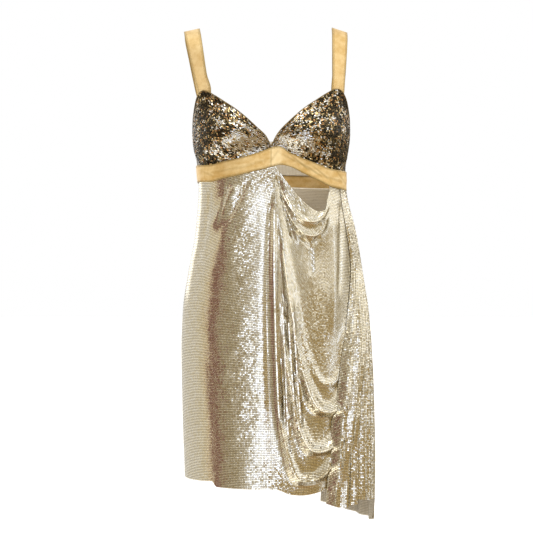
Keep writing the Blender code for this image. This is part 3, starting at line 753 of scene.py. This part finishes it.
def startPlates(name, rim=0.12):
    material, tree, shader = newMaterial(name)
    cells = addNode(tree, "UVMap", {"uv_map": "plateCells"}).outputs[0]
    return material, tree, shader, cells, useGroup(tree, plateFace, {"Cells": cells, "Rim": rim})


def finishPlates(tree, shader, face, colour, metal):
    rim = doMath(tree, "MULTIPLY", face.outputs["Rim Mask"], metal["rimShade"])
    rough = scaled(tree, face.outputs["Second Draw"], *metal["rough"])
    bump = (metal["dome"], 0.0006, face.outputs["Height"])
    setShader(tree, shader, mixColour(tree, rim, colour, metal["rim"]), 1.0, rough, bump)


plainMetal = {
    "light": (0.93, 0.89, 0.78),
    "deep": (0.80, 0.72, 0.53),
    "rim": (0.24, 0.19, 0.11),
    "rimShade": 0.75,
    "rough": (0.14, 0.14),  # by chance for each plate, and at least
    "dome": 0.25,
}


def makePlainMetal():
    material, tree, shader, _, face = startPlates("paleGoldPlates")
    colour = mixColour(tree, face.outputs["Draw"], plainMetal["deep"], plainMetal["light"])
    finishPlates(tree, shader, face, colour, plainMetal)
    return material


printedMetal = {
    "spotSize": 0.15,  # of the print, per plate
    "stops": ((0.0, (0.025, 0.020, 0.013)), (0.41, (0.13, 0.095, 0.045)), (0.48, (0.58, 0.32, 0.13)),
              (0.52, (0.17, 0.13, 0.062)), (0.55, (0.66, 0.50, 0.25)), (0.61, (0.84, 0.82, 0.77))),
    "jitter": 0.38,  # how far each plate strays from the print
    "sides": (0.086, 0.120, -0.10),  # painted shade at the sides of each cup: metres from the middle, from, to, and how much darker
    "paintedHighlight": (0.046, -0.218, 0.036, 0.018, 0.22),  # painted highlight at the foot of each cup: metres from the middle, z, half width, half height, how much paler
    "paintedHighlightEdge": (0.3, 1.6),  # where that painted highlight fades
    "rim": (0.03, 0.025, 0.015),
    "rimShade": 0.8,
    "rough": (0.2, 0.16),
    "dome": 0.25,
}


def makePrintedMetal():
    # blotches printed over the plates, with painted shade at the sides and a painted highlight at the foot of each
    # cup
    material, tree, shader, cells, face = startPlates("printedPlates")
    whole = addNode(tree, "VectorMath", {"operation": "FLOOR"}, i0=cells)
    spots = addNode(tree, "TexNoise", {"Scale": printedMetal["spotSize"], "Detail": 2.5, "Roughness": 0.6},
                    Vector=whole.outputs[0])
    jitter = doMath(tree, "MULTIPLY", doMath(tree, "SUBTRACT", face.outputs["Draw"], 0.5), printedMetal["jitter"])
    x, _, z = onObject(tree, "SeparateXYZ").outputs
    fromMiddle = doMath(tree, "ABSOLUTE", x)
    # painted shade: darker towards the sides of each cup
    near, far, darker = printedMetal["sides"]
    dark = addNode(tree, "MapRange", {"From Min": near, "From Max": far, "To Max": darker}, Value=fromMiddle)
    # painted highlight: paler at the foot of each cup
    centreX, centreZ, wide, tall, highlightGain = printedMetal["paintedHighlight"]
    fadeFrom, fadeTo = printedMetal["paintedHighlightEdge"]
    paintedHighlight = addNode(tree, "MapRange", {"From Min": fadeFrom, "From Max": fadeTo, "To Min": highlightGain, "To Max": 0.0},
                   Value=ovalSquare(tree, (fromMiddle, centreX, wide), (z, centreZ, tall)))
    value = spots.outputs[0]
    for part in (jitter, dark.outputs[0], paintedHighlight.outputs[0]):
        value = doMath(tree, "ADD", value, part)
    ramp = addNode(tree, "ValToRGB", Fac=value)
    ramp.color_ramp.interpolation = "CONSTANT"
    setStops(ramp, printedMetal["stops"])
    finishPlates(tree, shader, face, ramp.outputs[0], printedMetal)
    return material


meshLooks = {
    # share of the cell that is rim, face, rim, metallic, roughness by chance and at least, strength of the relief
    "ringMeshBehind": (0.35, (0.36, 0.29, 0.17), (0.12, 0.09, 0.05), 0.8, (0.2, 0.40), 0.7),
    "meshInside": (0.25, (0.86, 0.80, 0.68), (0.56, 0.49, 0.36), 0.5, (0.2, 0.35), 0.5),
    # a darker copy of the mesh's inside: painted shade for the hollows of the waterfall's folds
    "shadedFoldInside": (0.25, (0.60, 0.54, 0.43), (0.16, 0.13, 0.08), 0.5, (0.2, 0.35), 0.5),
}


def makeMesh(name):
    # linked rings: what shows between the plates, and their back
    rimShare, light, dark, metallic, rough, relief = meshLooks[name]
    material, tree, shader, _, plate = startPlates(name, rimShare)
    mask = plate.outputs["Rim Mask"]
    setShader(tree, shader, mixColour(tree, mask, light, dark), metallic,
              scaled(tree, plate.outputs["Draw"], *rough), (relief, 0.0008, mask))
    return material


goldLeather = {
    "base": (0.60, 0.37, 0.105),
    # the lighter colour: wear, and painted light on the straps
    "worn": (0.86, 0.66, 0.34),
    "deep": (0.24, 0.16, 0.04),
    # painted shade at the rolled edges and in the creases, and also the colour of the dark seam line
    "blotches": (0.38, 0.66, 0.6),  # from, to, and how worn the leather is there
}
thread = {"dark": (0.13, 0.085, 0.025), "light": (0.24, 0.16, 0.05)}
studBrass = {"bright": (0.80, 0.60, 0.26), "dull": (0.66, 0.47, 0.18)}


def makeGoldLeather():
    material, tree, shader = newMaterial("goldLeather")
    grain = useGroup(tree, leatherGrain, {})
    low, high, most = goldLeather["blotches"]
    blotch = addNode(tree, "MapRange", {"From Min": low, "From Max": high, "To Max": most},
                     Value=grain.outputs["Blotch"])
    rubbedAndLit, edge = (addNode(tree, "Attribute", {"attribute_name": name}).outputs["Fac"]
                    for name in ("rubbedAndLit", "shadeAndSeam"))
    # wear blotches and rubbing, with painted light on the straps
    worn = doMath(tree, "ADD", blotch.outputs[0], rubbedAndLit, clamp=True)
    colour = mixColour(tree, worn, goldLeather["base"], goldLeather["worn"])
    # darkened by painted shade at the edges and creases, and along the seam
    setShader(tree, shader, mixColour(tree, edge, colour, goldLeather["deep"]),
              scaled(tree, blotch.outputs[0], 0.2, 0.35), scaled(tree, grain.outputs["Blotch"], 0.25, 0.30),
              (0.35, 0.0003, grain.outputs["Grain"]))
    return material


def makeThread():
    material, tree, shader = newMaterial("edgeThread")
    twist = onObject(tree, "TexWave", {"Scale": 900.0, "Distortion": 2.0}).outputs[1]
    setShader(tree, shader, mixColour(tree, twist, thread["dark"], thread["light"]), 0.0, 0.7, (0.5, 0.0002, twist))
    return material


def makeStudBrass():
    material, tree, shader = newMaterial("studBrass")
    wear = onObject(tree, "TexNoise", {"Scale": 300.0, "Detail": 4.0}).outputs[0]
    setShader(tree, shader, mixColour(tree, wear, studBrass["bright"], studBrass["dull"]), 1.0,
              scaled(tree, wear, 0.2, 0.15))
    return material


looks = {
    "plain": makePlainMetal(), "printed": makePrintedMetal(), "ring": makeMesh("ringMeshBehind"),
    "inside": makeMesh("meshInside"), "shadedFoldInside": makeMesh("shadedFoldInside"),
    "leather": makeGoldLeather(), "thread": makeThread(), "stud": makeStudBrass(),
}
print("materials made")


def dress(obj, slot, *names):
    for name in names:
        obj.data.materials.append(looks[name])
    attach(obj, "root")


def meshPanel(name, node, surface, rows, look, slot, seed, tilt, stretches=((0.0, 0.0, 1.0),),
              flip=False, inside="inside"):
    across, lines, passed = measureRows(surface, rows, flip)
    grid, kept = clothGrid(across, lines, passed, stretches)
    ground = addGround(name + "Mesh", lines, passed)
    face = addPlates(name + "Plates", grid, kept, seed, tilt)
    dress(ground, slot, "ring", inside, look)
    dress(face, slot, look)
    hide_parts(node)
    drops = np.linalg.norm(np.diff(lines, axis=0), axis=2).sum(axis=0)
    print(name, "plates:", len(face.data.polygons), "widest row %.3f, longest column %.3f, area %.4f" % (
        passed[:, -1].max(), drops.max(), sum(p.area for p in ground.data.polygons)))


looseness = {
    # how far the plates tilt each by itself, in degrees: x, z, spread x, spread z, tilt more than at rest
    "rest": 0.6,
    "crest": 2.5,  # on the sharp crests of the swags
    "crestWidth": 0.0032,
    "crestGrows": (0.05, 0.3),
    "back": 1.6,
    "hipFall": 4.0,
    "cups": 8.5,
    "patches": (
        (-0.056, -0.400, 0.023, 0.110, 4.8), (-0.055, -0.640, 0.034, 0.170, 4.2), (-0.070, -0.300, 0.030, 0.020, 1.8),
        (0.045, -0.320, 0.040, 0.030, 4.5), (0.075, -0.560, 0.040, 0.080, 2.6), (0.070, -0.750, 0.055, 0.080, 2.4),
        (0.000, -0.810, 0.060, 0.025, 4.0), (-0.016, -0.280, 0.036, 0.022, 7.0),
    ),
}


def looseFront(x, z):
    more = [tilt * mound(x, z, *place) for *place, tilt in looseness["patches"]]
    crest = 0
    for *points, _, _, _ in skirtFront["swags"]:
        distance, share = alongPath(x, z, loopPath(*points))
        onCrest = np.exp(-((distance / looseness["crestWidth"]) ** 2)) * ease(share, *looseness["crestGrows"])
        crest = np.maximum(crest, onCrest)
    return looseness["rest"] + np.max(more, axis=0) + looseness["crest"] * crest


def looseEven(degrees):
    return lambda x, z: np.full(np.shape(x), degrees)


plateLines = {
    # lines down the front that the plates follow, as depths below the shoulders and x
    "hangEnds": ((0.25, 0.29, 0.50, 0.74, 0.86), (0.002, 0.002, -0.009, -0.001, 0.004)),
    "firstFold": ((0.25, 0.285, 0.53, 0.775, 0.86), (0.006, 0.006, 0.007, 0.018, 0.024)),
    "firstGroove": ((0.25, 0.345, 0.53, 0.745, 0.86), (0.010, 0.013, 0.020, 0.023, 0.030)),
    "swagLeg": ((0.25, 0.277, 0.37, 0.486, 0.611, 0.68, 0.86), (0.007, 0.008, 0.018, 0.030, 0.0505, 0.066, 0.075)),
    # and down the waterfall, as shares of its width
    "ridges": (0.025, 0.095, 0.165, 0.245, 0.325, 0.415, 0.515, 0.625, 0.745, 0.870, 1.0),
    "grooves": (0.0, 0.060, 0.130, 0.205, 0.285, 0.370, 0.465, 0.570, 0.685, 0.810, 0.930, 1.0),
}
hangEnds, firstFold, firstGroove, swagLeg, ridges, grooves = plateLines.values()
frontStretches = ((0.0, 0.0, hangEnds), (firstFold, hangEnds, firstGroove), (swagLeg, firstGroove, 1.0))
hipStretches = tuple(zip(ridges, grooves[:-1], grooves[1:]))
meshPanel("skirtFront", "skirt_front", frontSurface, skirtFront["rows"], "plain", "plain_mesh", 31,
          looseFront, frontStretches)
meshPanel("skirtBack", "skirt_back", backSurface, skirtBack["rows"], "plain", "plain_mesh", 41,
          looseEven(looseness["back"]))
# the waterfall's inside takes the darker copy with painted shade
meshPanel("hipFall", "hip_waterfall", hipSurface, hipFall["rows"], "plain", "plain_mesh", 51,
          looseEven(looseness["hipFall"]), hipStretches, inside="shadedFoldInside")
for side, word, seed in ((-1, "Right", 61), (1, "Left", 71)):
    meshPanel("cup" + word, "cup_" + word.lower(), cupSurfaces[word], cups["rows"], "printed", "printed_mesh", seed,
              looseEven(looseness["cups"]), flip=side < 0)
    meshPanel("lowBack" + word, "bodice_back_" + word.lower(), lowBackSurfaces[word], lowBack["rows"], "plain",
              "plain_mesh", seed + 4, looseEven(looseness["back"]))


# lines of plates that stand out along the crests of the folds
chains = {
    # table, number in it, from and to as shares of the path, lean of the plates to the inner side or to the left
    "paths": (
        ("swags", 0, 0.12, 0.94, 20.0), ("swags", 1, 0.14, 0.90, 18.0), ("swags", 3, 0.20, 0.80, 21.0),
        ("swags", 4, 0.16, 0.80, 21.0), ("swags", 5, 0.14, 0.80, 23.0), ("falls", 2, 0.10, 0.86, -3.5),
        ("falls", 4, 0.10, 0.90, -5.5), ("falls", 5, 0.15, 0.90, -7.5), ("falls", 6, 0.15, 0.90, -10.0),
    ),
    "more": 9.0,  # lean where the path runs level
    "lift": 0.0006,
    "loose": 2.5,
    "degrees": (-3, 89),  # round the body where the paths run
    "seed": 91,
}


def chainStrip(table, number, start, end, lean):
    isSwag = table == "swags"
    path = (loopPath if isSwag else bowPath)(*skirtFront[table][number][:6])
    passed = passedAlong(path)
    at = np.arange(start * passed[-1], end * passed[-1], platePitch)
    x, z = pointsAt(path, passed, at).T
    angles = np.radians(np.linspace(*chains["degrees"], 500))
    angle = np.array([np.interp(u, onForm(angles, v)[:, 0], angles) for u, v in zip(x, z)])
    points = onForm(angle, z, frontOut(angle, z) + chains["lift"])
    out = onForm(angle, z, 1.0) - onForm(angle, z, 0.0)
    along = unit(np.gradient(points, axis=0))
    aside = unit(np.cross(out, along))
    turned = np.radians(lean + isSwag * chains["more"] * (1 - np.abs(along[:, 2])))[:, None]
    halfWay = platePitch / 2 * (aside * np.cos(turned) - out * np.sin(turned))
    return points + halfWay, points - halfWay


def addChains():
    strips = [chainStrip(*path) for path in chains["paths"]]
    longest = max(len(inner) for inner, _ in strips)
    grid, inside = np.zeros((3 * len(strips), longest, 3)), np.zeros((3 * len(strips), longest), bool)
    for i, strip in enumerate(strips):
        for k, line in enumerate(strip):
            grid[3 * i + k, :len(line)] = line
            inside[3 * i + k, :len(line)] = True
    obj = addPlates("foldChains", grid, inside, chains["seed"], looseEven(chains["loose"]))
    dress(obj, "plain_mesh", "plain")


addChains()
print("mesh panels made")

leatherEdge = {"round": 0.0004, "segments": 2, "sharp": 50}  # sharp: degrees from which an edge is rounded


def leatherShell(name, points, shadeAndSeam, rubbedAndLit):
    rows, cols = points.shape[:2]
    faces = [(r * cols + c, (r + 1) * cols + c, (r + 1) * cols + c + 1, r * cols + c + 1)
             for r in range(rows - 1) for c in range(cols - 1)]
    obj = newObject(name, points.reshape(-1, 3), faces, smooth=True)
    for label, values in (("shadeAndSeam", shadeAndSeam), ("rubbedAndLit", rubbedAndLit)):
        layer = obj.data.attributes.new(label, "FLOAT", "POINT")
        layer.data.foreach_set("value", np.clip(values, 0, 1).astype(np.float32).ravel())
    thick = obj.modifiers.new("hide", "SOLIDIFY")
    thick.thickness = leatherWall
    thick.offset = -1.0
    soft = obj.modifiers.new("roundEdge", "BEVEL")
    soft.width = leatherEdge["round"]
    soft.segments = leatherEdge["segments"]
    soft.limit_method = "ANGLE"
    soft.angle_limit = math.radians(leatherEdge["sharp"])
    dress(obj, "gold_leather", "leather")
    return obj


stitch = {"length": 0.0019, "pitch": 0.0030, "width": 0.0004, "height": 0.0003}


def addStitches(name, lines, normals):
    # short threads in rows along the edges of a leather piece, as one joined mesh
    boxes = []
    for line, normal in zip(lines, normals):
        passed = passedAlong(line)
        middles = np.arange(stitch["pitch"], passed[-1] - stitch["pitch"], stitch["pitch"])
        ends = [pointsAt(line, passed, middles + d) for d in (-stitch["length"] / 2, stitch["length"] / 2)]
        out = unit(pointsAt(normal, passed, middles))
        aside = unit(np.cross(ends[1] - ends[0], out)) * stitch["width"] / 2
        over = out * stitch["height"] / 2
        corners = ((-1, -1), (1, -1), (1, 1), (-1, 1))
        boxes.append(np.stack([end + u * aside + v * over for end in ends for u, v in corners], axis=1))
    points = np.concatenate(boxes).reshape(-1, 3)
    sides = np.array([(0, 3, 2, 1), (4, 5, 6, 7), (0, 1, 5, 4), (1, 2, 6, 5), (2, 3, 7, 6), (3, 0, 4, 7)])
    faces = (np.arange(len(points) // 8)[:, None, None] * 8 + sides[None]).reshape(-1, 4)
    dress(newObject(name, points, faces), "gold_leather", "thread")


bandWearAndShade = {
    "edge": (0.9, 0.10),  # painted shade at the rolled edges: how dark they are, and over which share of the width
    "rubbedAndLit": (0.12, 0.22, 0.020),  # everywhere, in patches, and the size of the patches
    "crease": (420, 450, 1.8),  # painted shade in a crease and lighter above it, for each metre of depth, and how far above
    "seam": (0.0010, 0.45),  # half width and darkness of the seam at the centre front
    "patch": (0.009, 0.011, 0.65),  # x, half width and wear of the bare patch beside it
}


def bandSurface(startDegrees, endDegrees, cols):
    angle = np.radians(np.linspace(startDegrees, endDegrees, cols))[None, :]
    low, high = bandBottom(angle), bandTop(angle)
    v = np.linspace(0, 1, band["rows"])[:, None]
    z = high + (low - high) * v
    x = onForm(angle, z)[..., 0]
    puff = band["puff"] * np.sin(math.pi * v) ** 0.5 + band["wobble"] * ripple(angle * 0.13 + 0 * z, z, 0.018, 5)
    front = np.cos(angle) > 0
    # painted shade along the rolled edges
    shade, width = bandWearAndShade["edge"]
    edge = shade * np.clip(1 - np.minimum(v, 1 - v) / width, 0, 1) + 0 * z
    even, patchy, size = bandWearAndShade["rubbedAndLit"]
    rubbedAndLit = even + patchy * ripple(x * 0.35 + 0 * z, z * 2.2, size, 8)
    dark, bare, above = bandWearAndShade["crease"]
    for cx, cz, slope, half, width, depth in band["creases"]:
        length = math.hypot(1, slope)
        s = ((x - cx) + (z - cz) * slope) / length
        t = ((z - cz) - (x - cx) * slope) / length
        crease = front * np.exp(-((s / half) ** 4) - (t / width) ** 2)
        puff = puff - depth * crease
        # painted shade in the crease
        edge = edge + dark * depth * crease
        rubbedAndLit = rubbedAndLit + bare * depth * front * np.exp(-((s / half) ** 4) - ((t - above * width) / width) ** 2)
    half, dark = bandWearAndShade["seam"]
    edge = edge + dark * front * np.exp(-((x / half) ** 2))
    middle, half, bare = bandWearAndShade["patch"]
    rubbedAndLit = rubbedAndLit + bare * front * np.exp(-(((x - middle) / half) ** 4))
    return onForm(angle, z, leatherWall + puff), edge, rubbedAndLit


def leatherPiece(name, node, surface, edges):
    points, shade, rubbedAndLit = surface
    piece = leatherShell(name, points, shade, rubbedAndLit)
    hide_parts(node)
    normals = normalsOf(points)
    addStitches(name + "Stitches", [edges(points, k) for k in (1, -2)], [edges(normals, k) for k in (1, -2)])


for name, node, start, end, cols, width in (
    ("bandFront", "band_front", -90, 90, 240, 0.36),
    ("bandBackLeft", "band_back_left", 90, 180, 90, 0.19),
    ("bandBackRight", "band_back_right", 180, 270, 90, 0.19),
):
    leatherPiece(name, node, bandSurface(start + edgeGap, end - edgeGap, cols),
                 lambda grid, k: grid[k])


straps = {
    "rightX": (-0.1290, -0.1375, -0.1435, -0.1465, -0.1462, -0.1415, -0.1325),
    "leftX": (0.1235, 0.1252, 0.1264, 0.1270, 0.1290, 0.1296, 0.1280),
    "y": (-0.0585, -0.0480, -0.0280, 0.0020, 0.0300, 0.0500, 0.0620),
    "z": (-0.0900, -0.0450, -0.0130, 0.0000, -0.0130, -0.0500, -0.1060),
    "turn": (38.0, 24.0, 10.0, 0.0, -14.0, -34.0, -48.0),
    "rightDrop": (2.0, 7.0, 11.0, 12.0, 11.0, 7.0, 3.0),
    "leftDrop": (2.0, 9.0, 15.0, 18.0, 15.0, 9.0, 3.0),
    "width": 0.030,
    "frontAngle": 63.0,
    "frontHeights": (-0.140, -0.128, -0.117),
    "backAngle": 116.0,
    "backHeights": (-0.150, -0.180, -0.205),
    "facet": 0.0004,
    "edge": (0.85, 0.16),  # painted shade at the strap's edges: how dark they are, and over which share of the half width
    "rubbedAndLit": (0.42, 0.14, 0.25, 0.04),  # painted light with rubbed wear: mean, more on the right strap, less on top, in patches
    "bareEnd": (0.10, 0.42),  # shares of the length between which the lighter front ends
    "along": 120,
    "across": 9,
}


def strapEnd(side, degrees, heights, panelOut):
    angle = math.radians(degrees)
    ends = []
    for z in heights:
        middle = onForm(side * angle, z)
        half = straps["width"] / 2 / math.hypot(middle[0], middle[1]) * math.copysign(1, math.cos(angle))
        across = side * (angle + half * np.array([-1.0, 0.0, 1.0]))
        ends.append(onForm(across, z, panelOut(across, z) - meshWall - seam - straps["facet"]))
    return ends


def strapSurface(side):
    ahead = strapEnd(side, straps["frontAngle"], straps["frontHeights"], cupOut)
    arch = []
    word = "right" if side < 0 else "left"
    for x, y, z, turn, drop in zip(*(straps[name] for name in (word + "X", "y", "z", "turn", word + "Drop"))):
        turn, drop = math.radians(turn), math.radians(drop)
        way = np.array([side * math.cos(turn) * math.cos(drop), math.sin(turn) * math.cos(drop), -math.sin(drop)])
        centre = np.array([x, y, z])
        arch.append([centre - way * straps["width"] / 2, centre, centre + way * straps["width"] / 2])
    behind = strapEnd(side, straps["backAngle"], straps["backHeights"], lowBackOut)
    knots = np.array(ahead + arch + behind)
    steps = passedAlong(knots[:, 1])
    at = np.linspace(0, steps[-1], straps["along"])
    three = np.stack([[smoothCurve(at, steps, knots[:, c, k]) for k in range(3)] for c in range(3)])
    three = np.transpose(three, (2, 0, 1))
    u = np.linspace(-1, 1, straps["across"])
    weights = np.stack([u * (u - 1) / 2, 1 - u * u, u * (u + 1) / 2])
    grid = np.einsum("rck,ca->rak", three, weights)[:, ::-side]
    # painted shade along the strap's edges
    shade, width = straps["edge"]
    edge = shade * np.clip(1 - (1 - np.abs(u)) / width, 0, 1)[None, :] + np.zeros((straps["along"], 1))
    climb = np.linspace(0, 1, straps["along"])[:, None]
    # painted light: the strap's front and the right strap lighter, with rubbed patches
    mean, right, less, patchy = straps["rubbedAndLit"]
    rubbedAndLit = mean - right * side - less * ease(climb, *straps["bareEnd"])
    return grid, edge, rubbedAndLit + patchy * ripple(climb * 0.42, 0 * climb, 0.05, 9 + side) + 0 * edge


for side, word in sides:
    leatherPiece("strap" + word, "strap_" + word.lower(), strapSurface(side),
                 lambda grid, k: grid[:, k])
print("leather made")


def addBinding(name, line, slot, radius=0.0009, sides=6):
    # a thin thread round an open edge of the mesh
    along = unit(np.gradient(line, axis=0))
    out = line * np.array([1.0, 1.0, 0.0])
    out = unit(out - (out * along).sum(axis=1, keepdims=True) * along)
    aside = np.cross(along, out)
    turns = np.linspace(0, 2 * math.pi, sides, endpoint=False)
    points = np.stack([line + radius * (math.cos(t) * out + math.sin(t) * aside) for t in turns], axis=1)
    i, j = (n.ravel() for n in np.meshgrid(np.arange(len(line) - 1), np.arange(sides), indexing="ij"))
    after = (j + 1) % sides
    faces = np.stack([i * sides + j, i * sides + after, (i + 1) * sides + after, (i + 1) * sides + j], 1)
    dress(newObject(name, points.reshape(-1, 3), faces, smooth=True), slot, "thread")


for side, word in sides:
    addBinding("neckline" + word, cupSurfaces[word](np.linspace(0, 1, 120), 0.0), "printed_mesh")
    addBinding("backline" + word, lowBackSurfaces[word](np.linspace(0, 1, 60), 0.0), "plain_mesh")
print("bindings made")

for name, look in (("closure_tab", "leather"), ("closure_stud_1", "stud"), ("closure_stud_2", "stud")):
    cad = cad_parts[name]
    cad.data.materials.clear()
    cad.data.materials.append(looks[look])

stage = {"half": 30.0, "z": -1.45, "colour": (0.90, 0.89, 0.88), "rough": 0.9, "glow": 0.3}
view = {"lens": 113.2, "sensor": 36.0, "place": (-0.0083, -3.1, -0.4375)}
lamps = (
    # name, place, target, width, height, power
    ("leftBox", (-1.4, 2.2, 0.6), (0, 0, -0.45), 1.2, 2.0, 9),
    ("rightBox", (1.9, 1.9, 0.8), (0, 0, -0.45), 1.2, 1.8, 8),
    ("topBox", (0.0, -1.4, 2.4), (0, 0, -0.3), 1.8, 1.2, 24),
)


def softBox(name, place, target, width, height, power):
    lamp = bpy.data.lights.new(name, "AREA")
    lamp.shape, lamp.size, lamp.size_y, lamp.energy = "RECTANGLE", width, height, power
    obj = bpy.data.objects.new(name, lamp)
    obj.location = place
    obj.rotation_euler = (Vector(target) - Vector(place)).to_track_quat("-Z", "Y").to_euler()
    bpy.context.scene.collection.objects.link(obj)


def makeStage():
    half = stage["half"]
    corners = [(x * half, y * half, stage["z"]) for x, y in ((-1, -1), (1, -1), (1, 1), (-1, 1))]
    floor = newObject("floor", np.array(corners), [(0, 1, 2, 3)])
    material, tree, shader = newMaterial("paleFloor")
    setShader(tree, shader, stage["colour"], 0.0, stage["rough"])
    shader.inputs["Emission Color"].default_value = (1.0, 1.0, 1.0, 1)
    shader.inputs["Emission Strength"].default_value = stage["glow"]
    floor.data.materials.append(material)
    floor.visible_glossy = False


studio = {
    # turn from the front in degrees, + towards the wearer's left, and the light that comes from there
    "round": (
        (-180, (0.96, 0.94, 0.90)), (-104, (0.92, 0.88, 0.81)), (-84, (0.92, 0.85, 0.70)), (-75, (0.92, 0.79, 0.60)),
        (-50, (0.48, 0.42, 0.33)), (-38, (0.57, 0.51, 0.42)), (-16, (0.70, 0.66, 0.60)), (180, (1.10, 1.08, 1.04)),
    ),
    # soft-edged panels in the room: turn and height in degrees, half width, half height, hardness of the edge, light
    "washes": (
        (46, -9, 38, 25, 0.55, (0.52, 0.40, 0.21)),
        (12, -12, 10, 24, 0.50, (0.58, 0.45, 0.24)),
        (132, -12, 50, 26, 0.50, (0.62, 0.52, 0.34)),
        (-60, -55, 75, 36, 0.30, (2.00, 1.95, 1.85)),
        (42, -52, 58, 34, 0.30, (0.58, 0.40, 0.21)),
        (0, 62, 200, 34, 0.30, (1.25, 1.25, 1.25)),
        (0, -92, 400, 24, 0.40, (0.26, 0.18, 0.09)),
    ),
    "panels": (
        (83, 23, 63, 15, 0.60, (1.50, 1.46, 1.38)),
        (18, 46, 17, 18, 0.40, (0.50, 0.40, 0.24)),
        (-64, 4, 8.5, 34, 0.88, (0.31, 0.165, 0.140)),
        (-4.5, 5, 7.6, 38, 0.85, (1.95, 2.15, 2.65)),
        (4.5, 6, 2.0, 40, 0.30, (0.42, 0.25, 0.13)),
        (71, 2, 4.0, 36, 0.50, (1.80, 1.95, 2.30)),
        (86, -22, 4.0, 36, 0.50, (0.30, 0.23, 0.12)),
        (114, -24, 9.0, 36, 0.50, (0.18, 0.14, 0.07)),
        (160, -24, 12.0, 36, 0.50, (0.22, 0.17, 0.09)),
    ),
    "speckSize": 15.0,
    "speckTints": ((0.30, (0.28, 0.22, 0.14)), (0.44, (0.70, 0.62, 0.34)), (0.50, (1.0, 1.0, 1.0)),
                   (0.64, (1.7, 1.75, 1.85)), (0.641, (1.25, 0.98, 0.74))),
    "specksAhead": (-0.10, 0.45),  # from the sides to the front, where the specks come in
    "wander": 3.0,  # degrees that the panels' edges wander
}


def makePanelGroup():
    # one soft-edged panel of light or dark in the room, laid over what is behind it
    numbers = ("Turn", "Rise", "Panel Turn", "Panel Rise", "Half Width", "Half Height", "Hard")
    group, given, out = newGroup(
        "roomPanel",
        [("Behind", "NodeSocketColor", None), *((label, "NodeSocketFloat", 1.0) for label in numbers),
         ("Panel Colour", "NodeSocketColor", None)],
        [("Colour", "NodeSocketColor")],
    )
    aside, above = (tuple(given.outputs[label] for label in labels) for labels in (
        ("Turn", "Panel Turn", "Half Width"), ("Rise", "Panel Rise", "Half Height")))
    away = doMath(group, "SQRT", ovalSquare(group, aside, above))
    fade = addNode(group, "MapRange", {"interpolation_type": "SMOOTHSTEP", "From Max": 1.15, "To Min": 1.0,
                                       "To Max": 0.0}, Value=away)
    group.links.new(given.outputs["Hard"], fade.inputs["From Min"])
    colour = mixColour(group, fade.outputs[0], given.outputs["Behind"], given.outputs["Panel Colour"])
    group.links.new(colour, out.inputs["Colour"])
    return group


roomPanel = makePanelGroup()


def layPanels(tree, colour, turn, rise, panels):
    labels = ("Panel Turn", "Panel Rise", "Half Width", "Half Height", "Hard", "Panel Colour")
    for panel in panels:
        values = {"Behind": colour, "Turn": turn, "Rise": rise, **dict(zip(labels, panel))}
        colour = useGroup(tree, roomPanel, values).outputs[0]
    return colour


def makeWorld():
    world = bpy.data.worlds.new("studio")
    bpy.context.scene.world = world
    world.use_nodes = True
    tree = world.node_tree
    back = tree.nodes["Background"]
    way = addNode(tree, "TexCoord").outputs["Generated"]
    x, y, z = addNode(tree, "SeparateXYZ", Vector=way).outputs
    frontY = doMath(tree, "MULTIPLY", y, -1.0)
    slow = addNode(tree, "TexNoise", {"Scale": 6.0, "Detail": 2.0}, Vector=way)
    wander = doMath(tree, "MULTIPLY", doMath(tree, "SUBTRACT", slow.outputs[0], 0.5), studio["wander"])
    turn, rise = (scaled(tree, angle, 180 / math.pi, wander) for angle in (
        doMath(tree, "ARCTAN2", x, frontY), doMath(tree, "ARCSINE", z)))
    ramp = addNode(tree, "ValToRGB", Fac=doMath(tree, "ADD", doMath(tree, "DIVIDE", turn, 360.0), 0.5))
    setStops(ramp, [(at / 360 + 0.5, tint) for at, tint in studio["round"]])
    washed = layPanels(tree, ramp.outputs[0], turn, rise, studio["washes"])
    # small bright and dark things in the front half of the room, which the plates pick up one by one
    fine = addNode(tree, "TexNoise", {"Scale": studio["speckSize"], "Detail": 3.0, "Roughness": 0.65}, Vector=way)
    tints = addNode(tree, "ValToRGB", Fac=fine.outputs[0])
    setStops(tints, studio["speckTints"])
    low, high = studio["specksAhead"]
    ahead = addNode(tree, "MapRange", {"From Min": low, "From Max": high}, Value=frontY)
    specked = mixColour(tree, ahead.outputs[0], washed, mixColour(tree, 1.0, washed, tints.outputs[0], "MULTIPLY"))
    colour = layPanels(tree, specked, turn, rise, studio["panels"])
    seen = addNode(tree, "LightPath").outputs["Is Camera Ray"]
    tree.links.new(mixColour(tree, seen, colour, (1.0, 1.0, 1.0)), back.inputs["Color"])
    back.inputs["Strength"].default_value = 1.0


def makeCamera():
    camera = bpy.data.cameras.new("camera")
    camera.lens, camera.sensor_width = view["lens"], view["sensor"]
    obj = bpy.data.objects.new("camera", camera)
    obj.location = view["place"]
    obj.rotation_euler = (math.radians(90), 0, 0)
    bpy.context.scene.collection.objects.link(obj)
    bpy.context.scene.camera = obj


makeStage()
makeWorld()
makeCamera()
for lamp in lamps:
    softBox(*lamp)
bpy.context.scene.view_settings.view_transform = "Standard"
print("studio made")
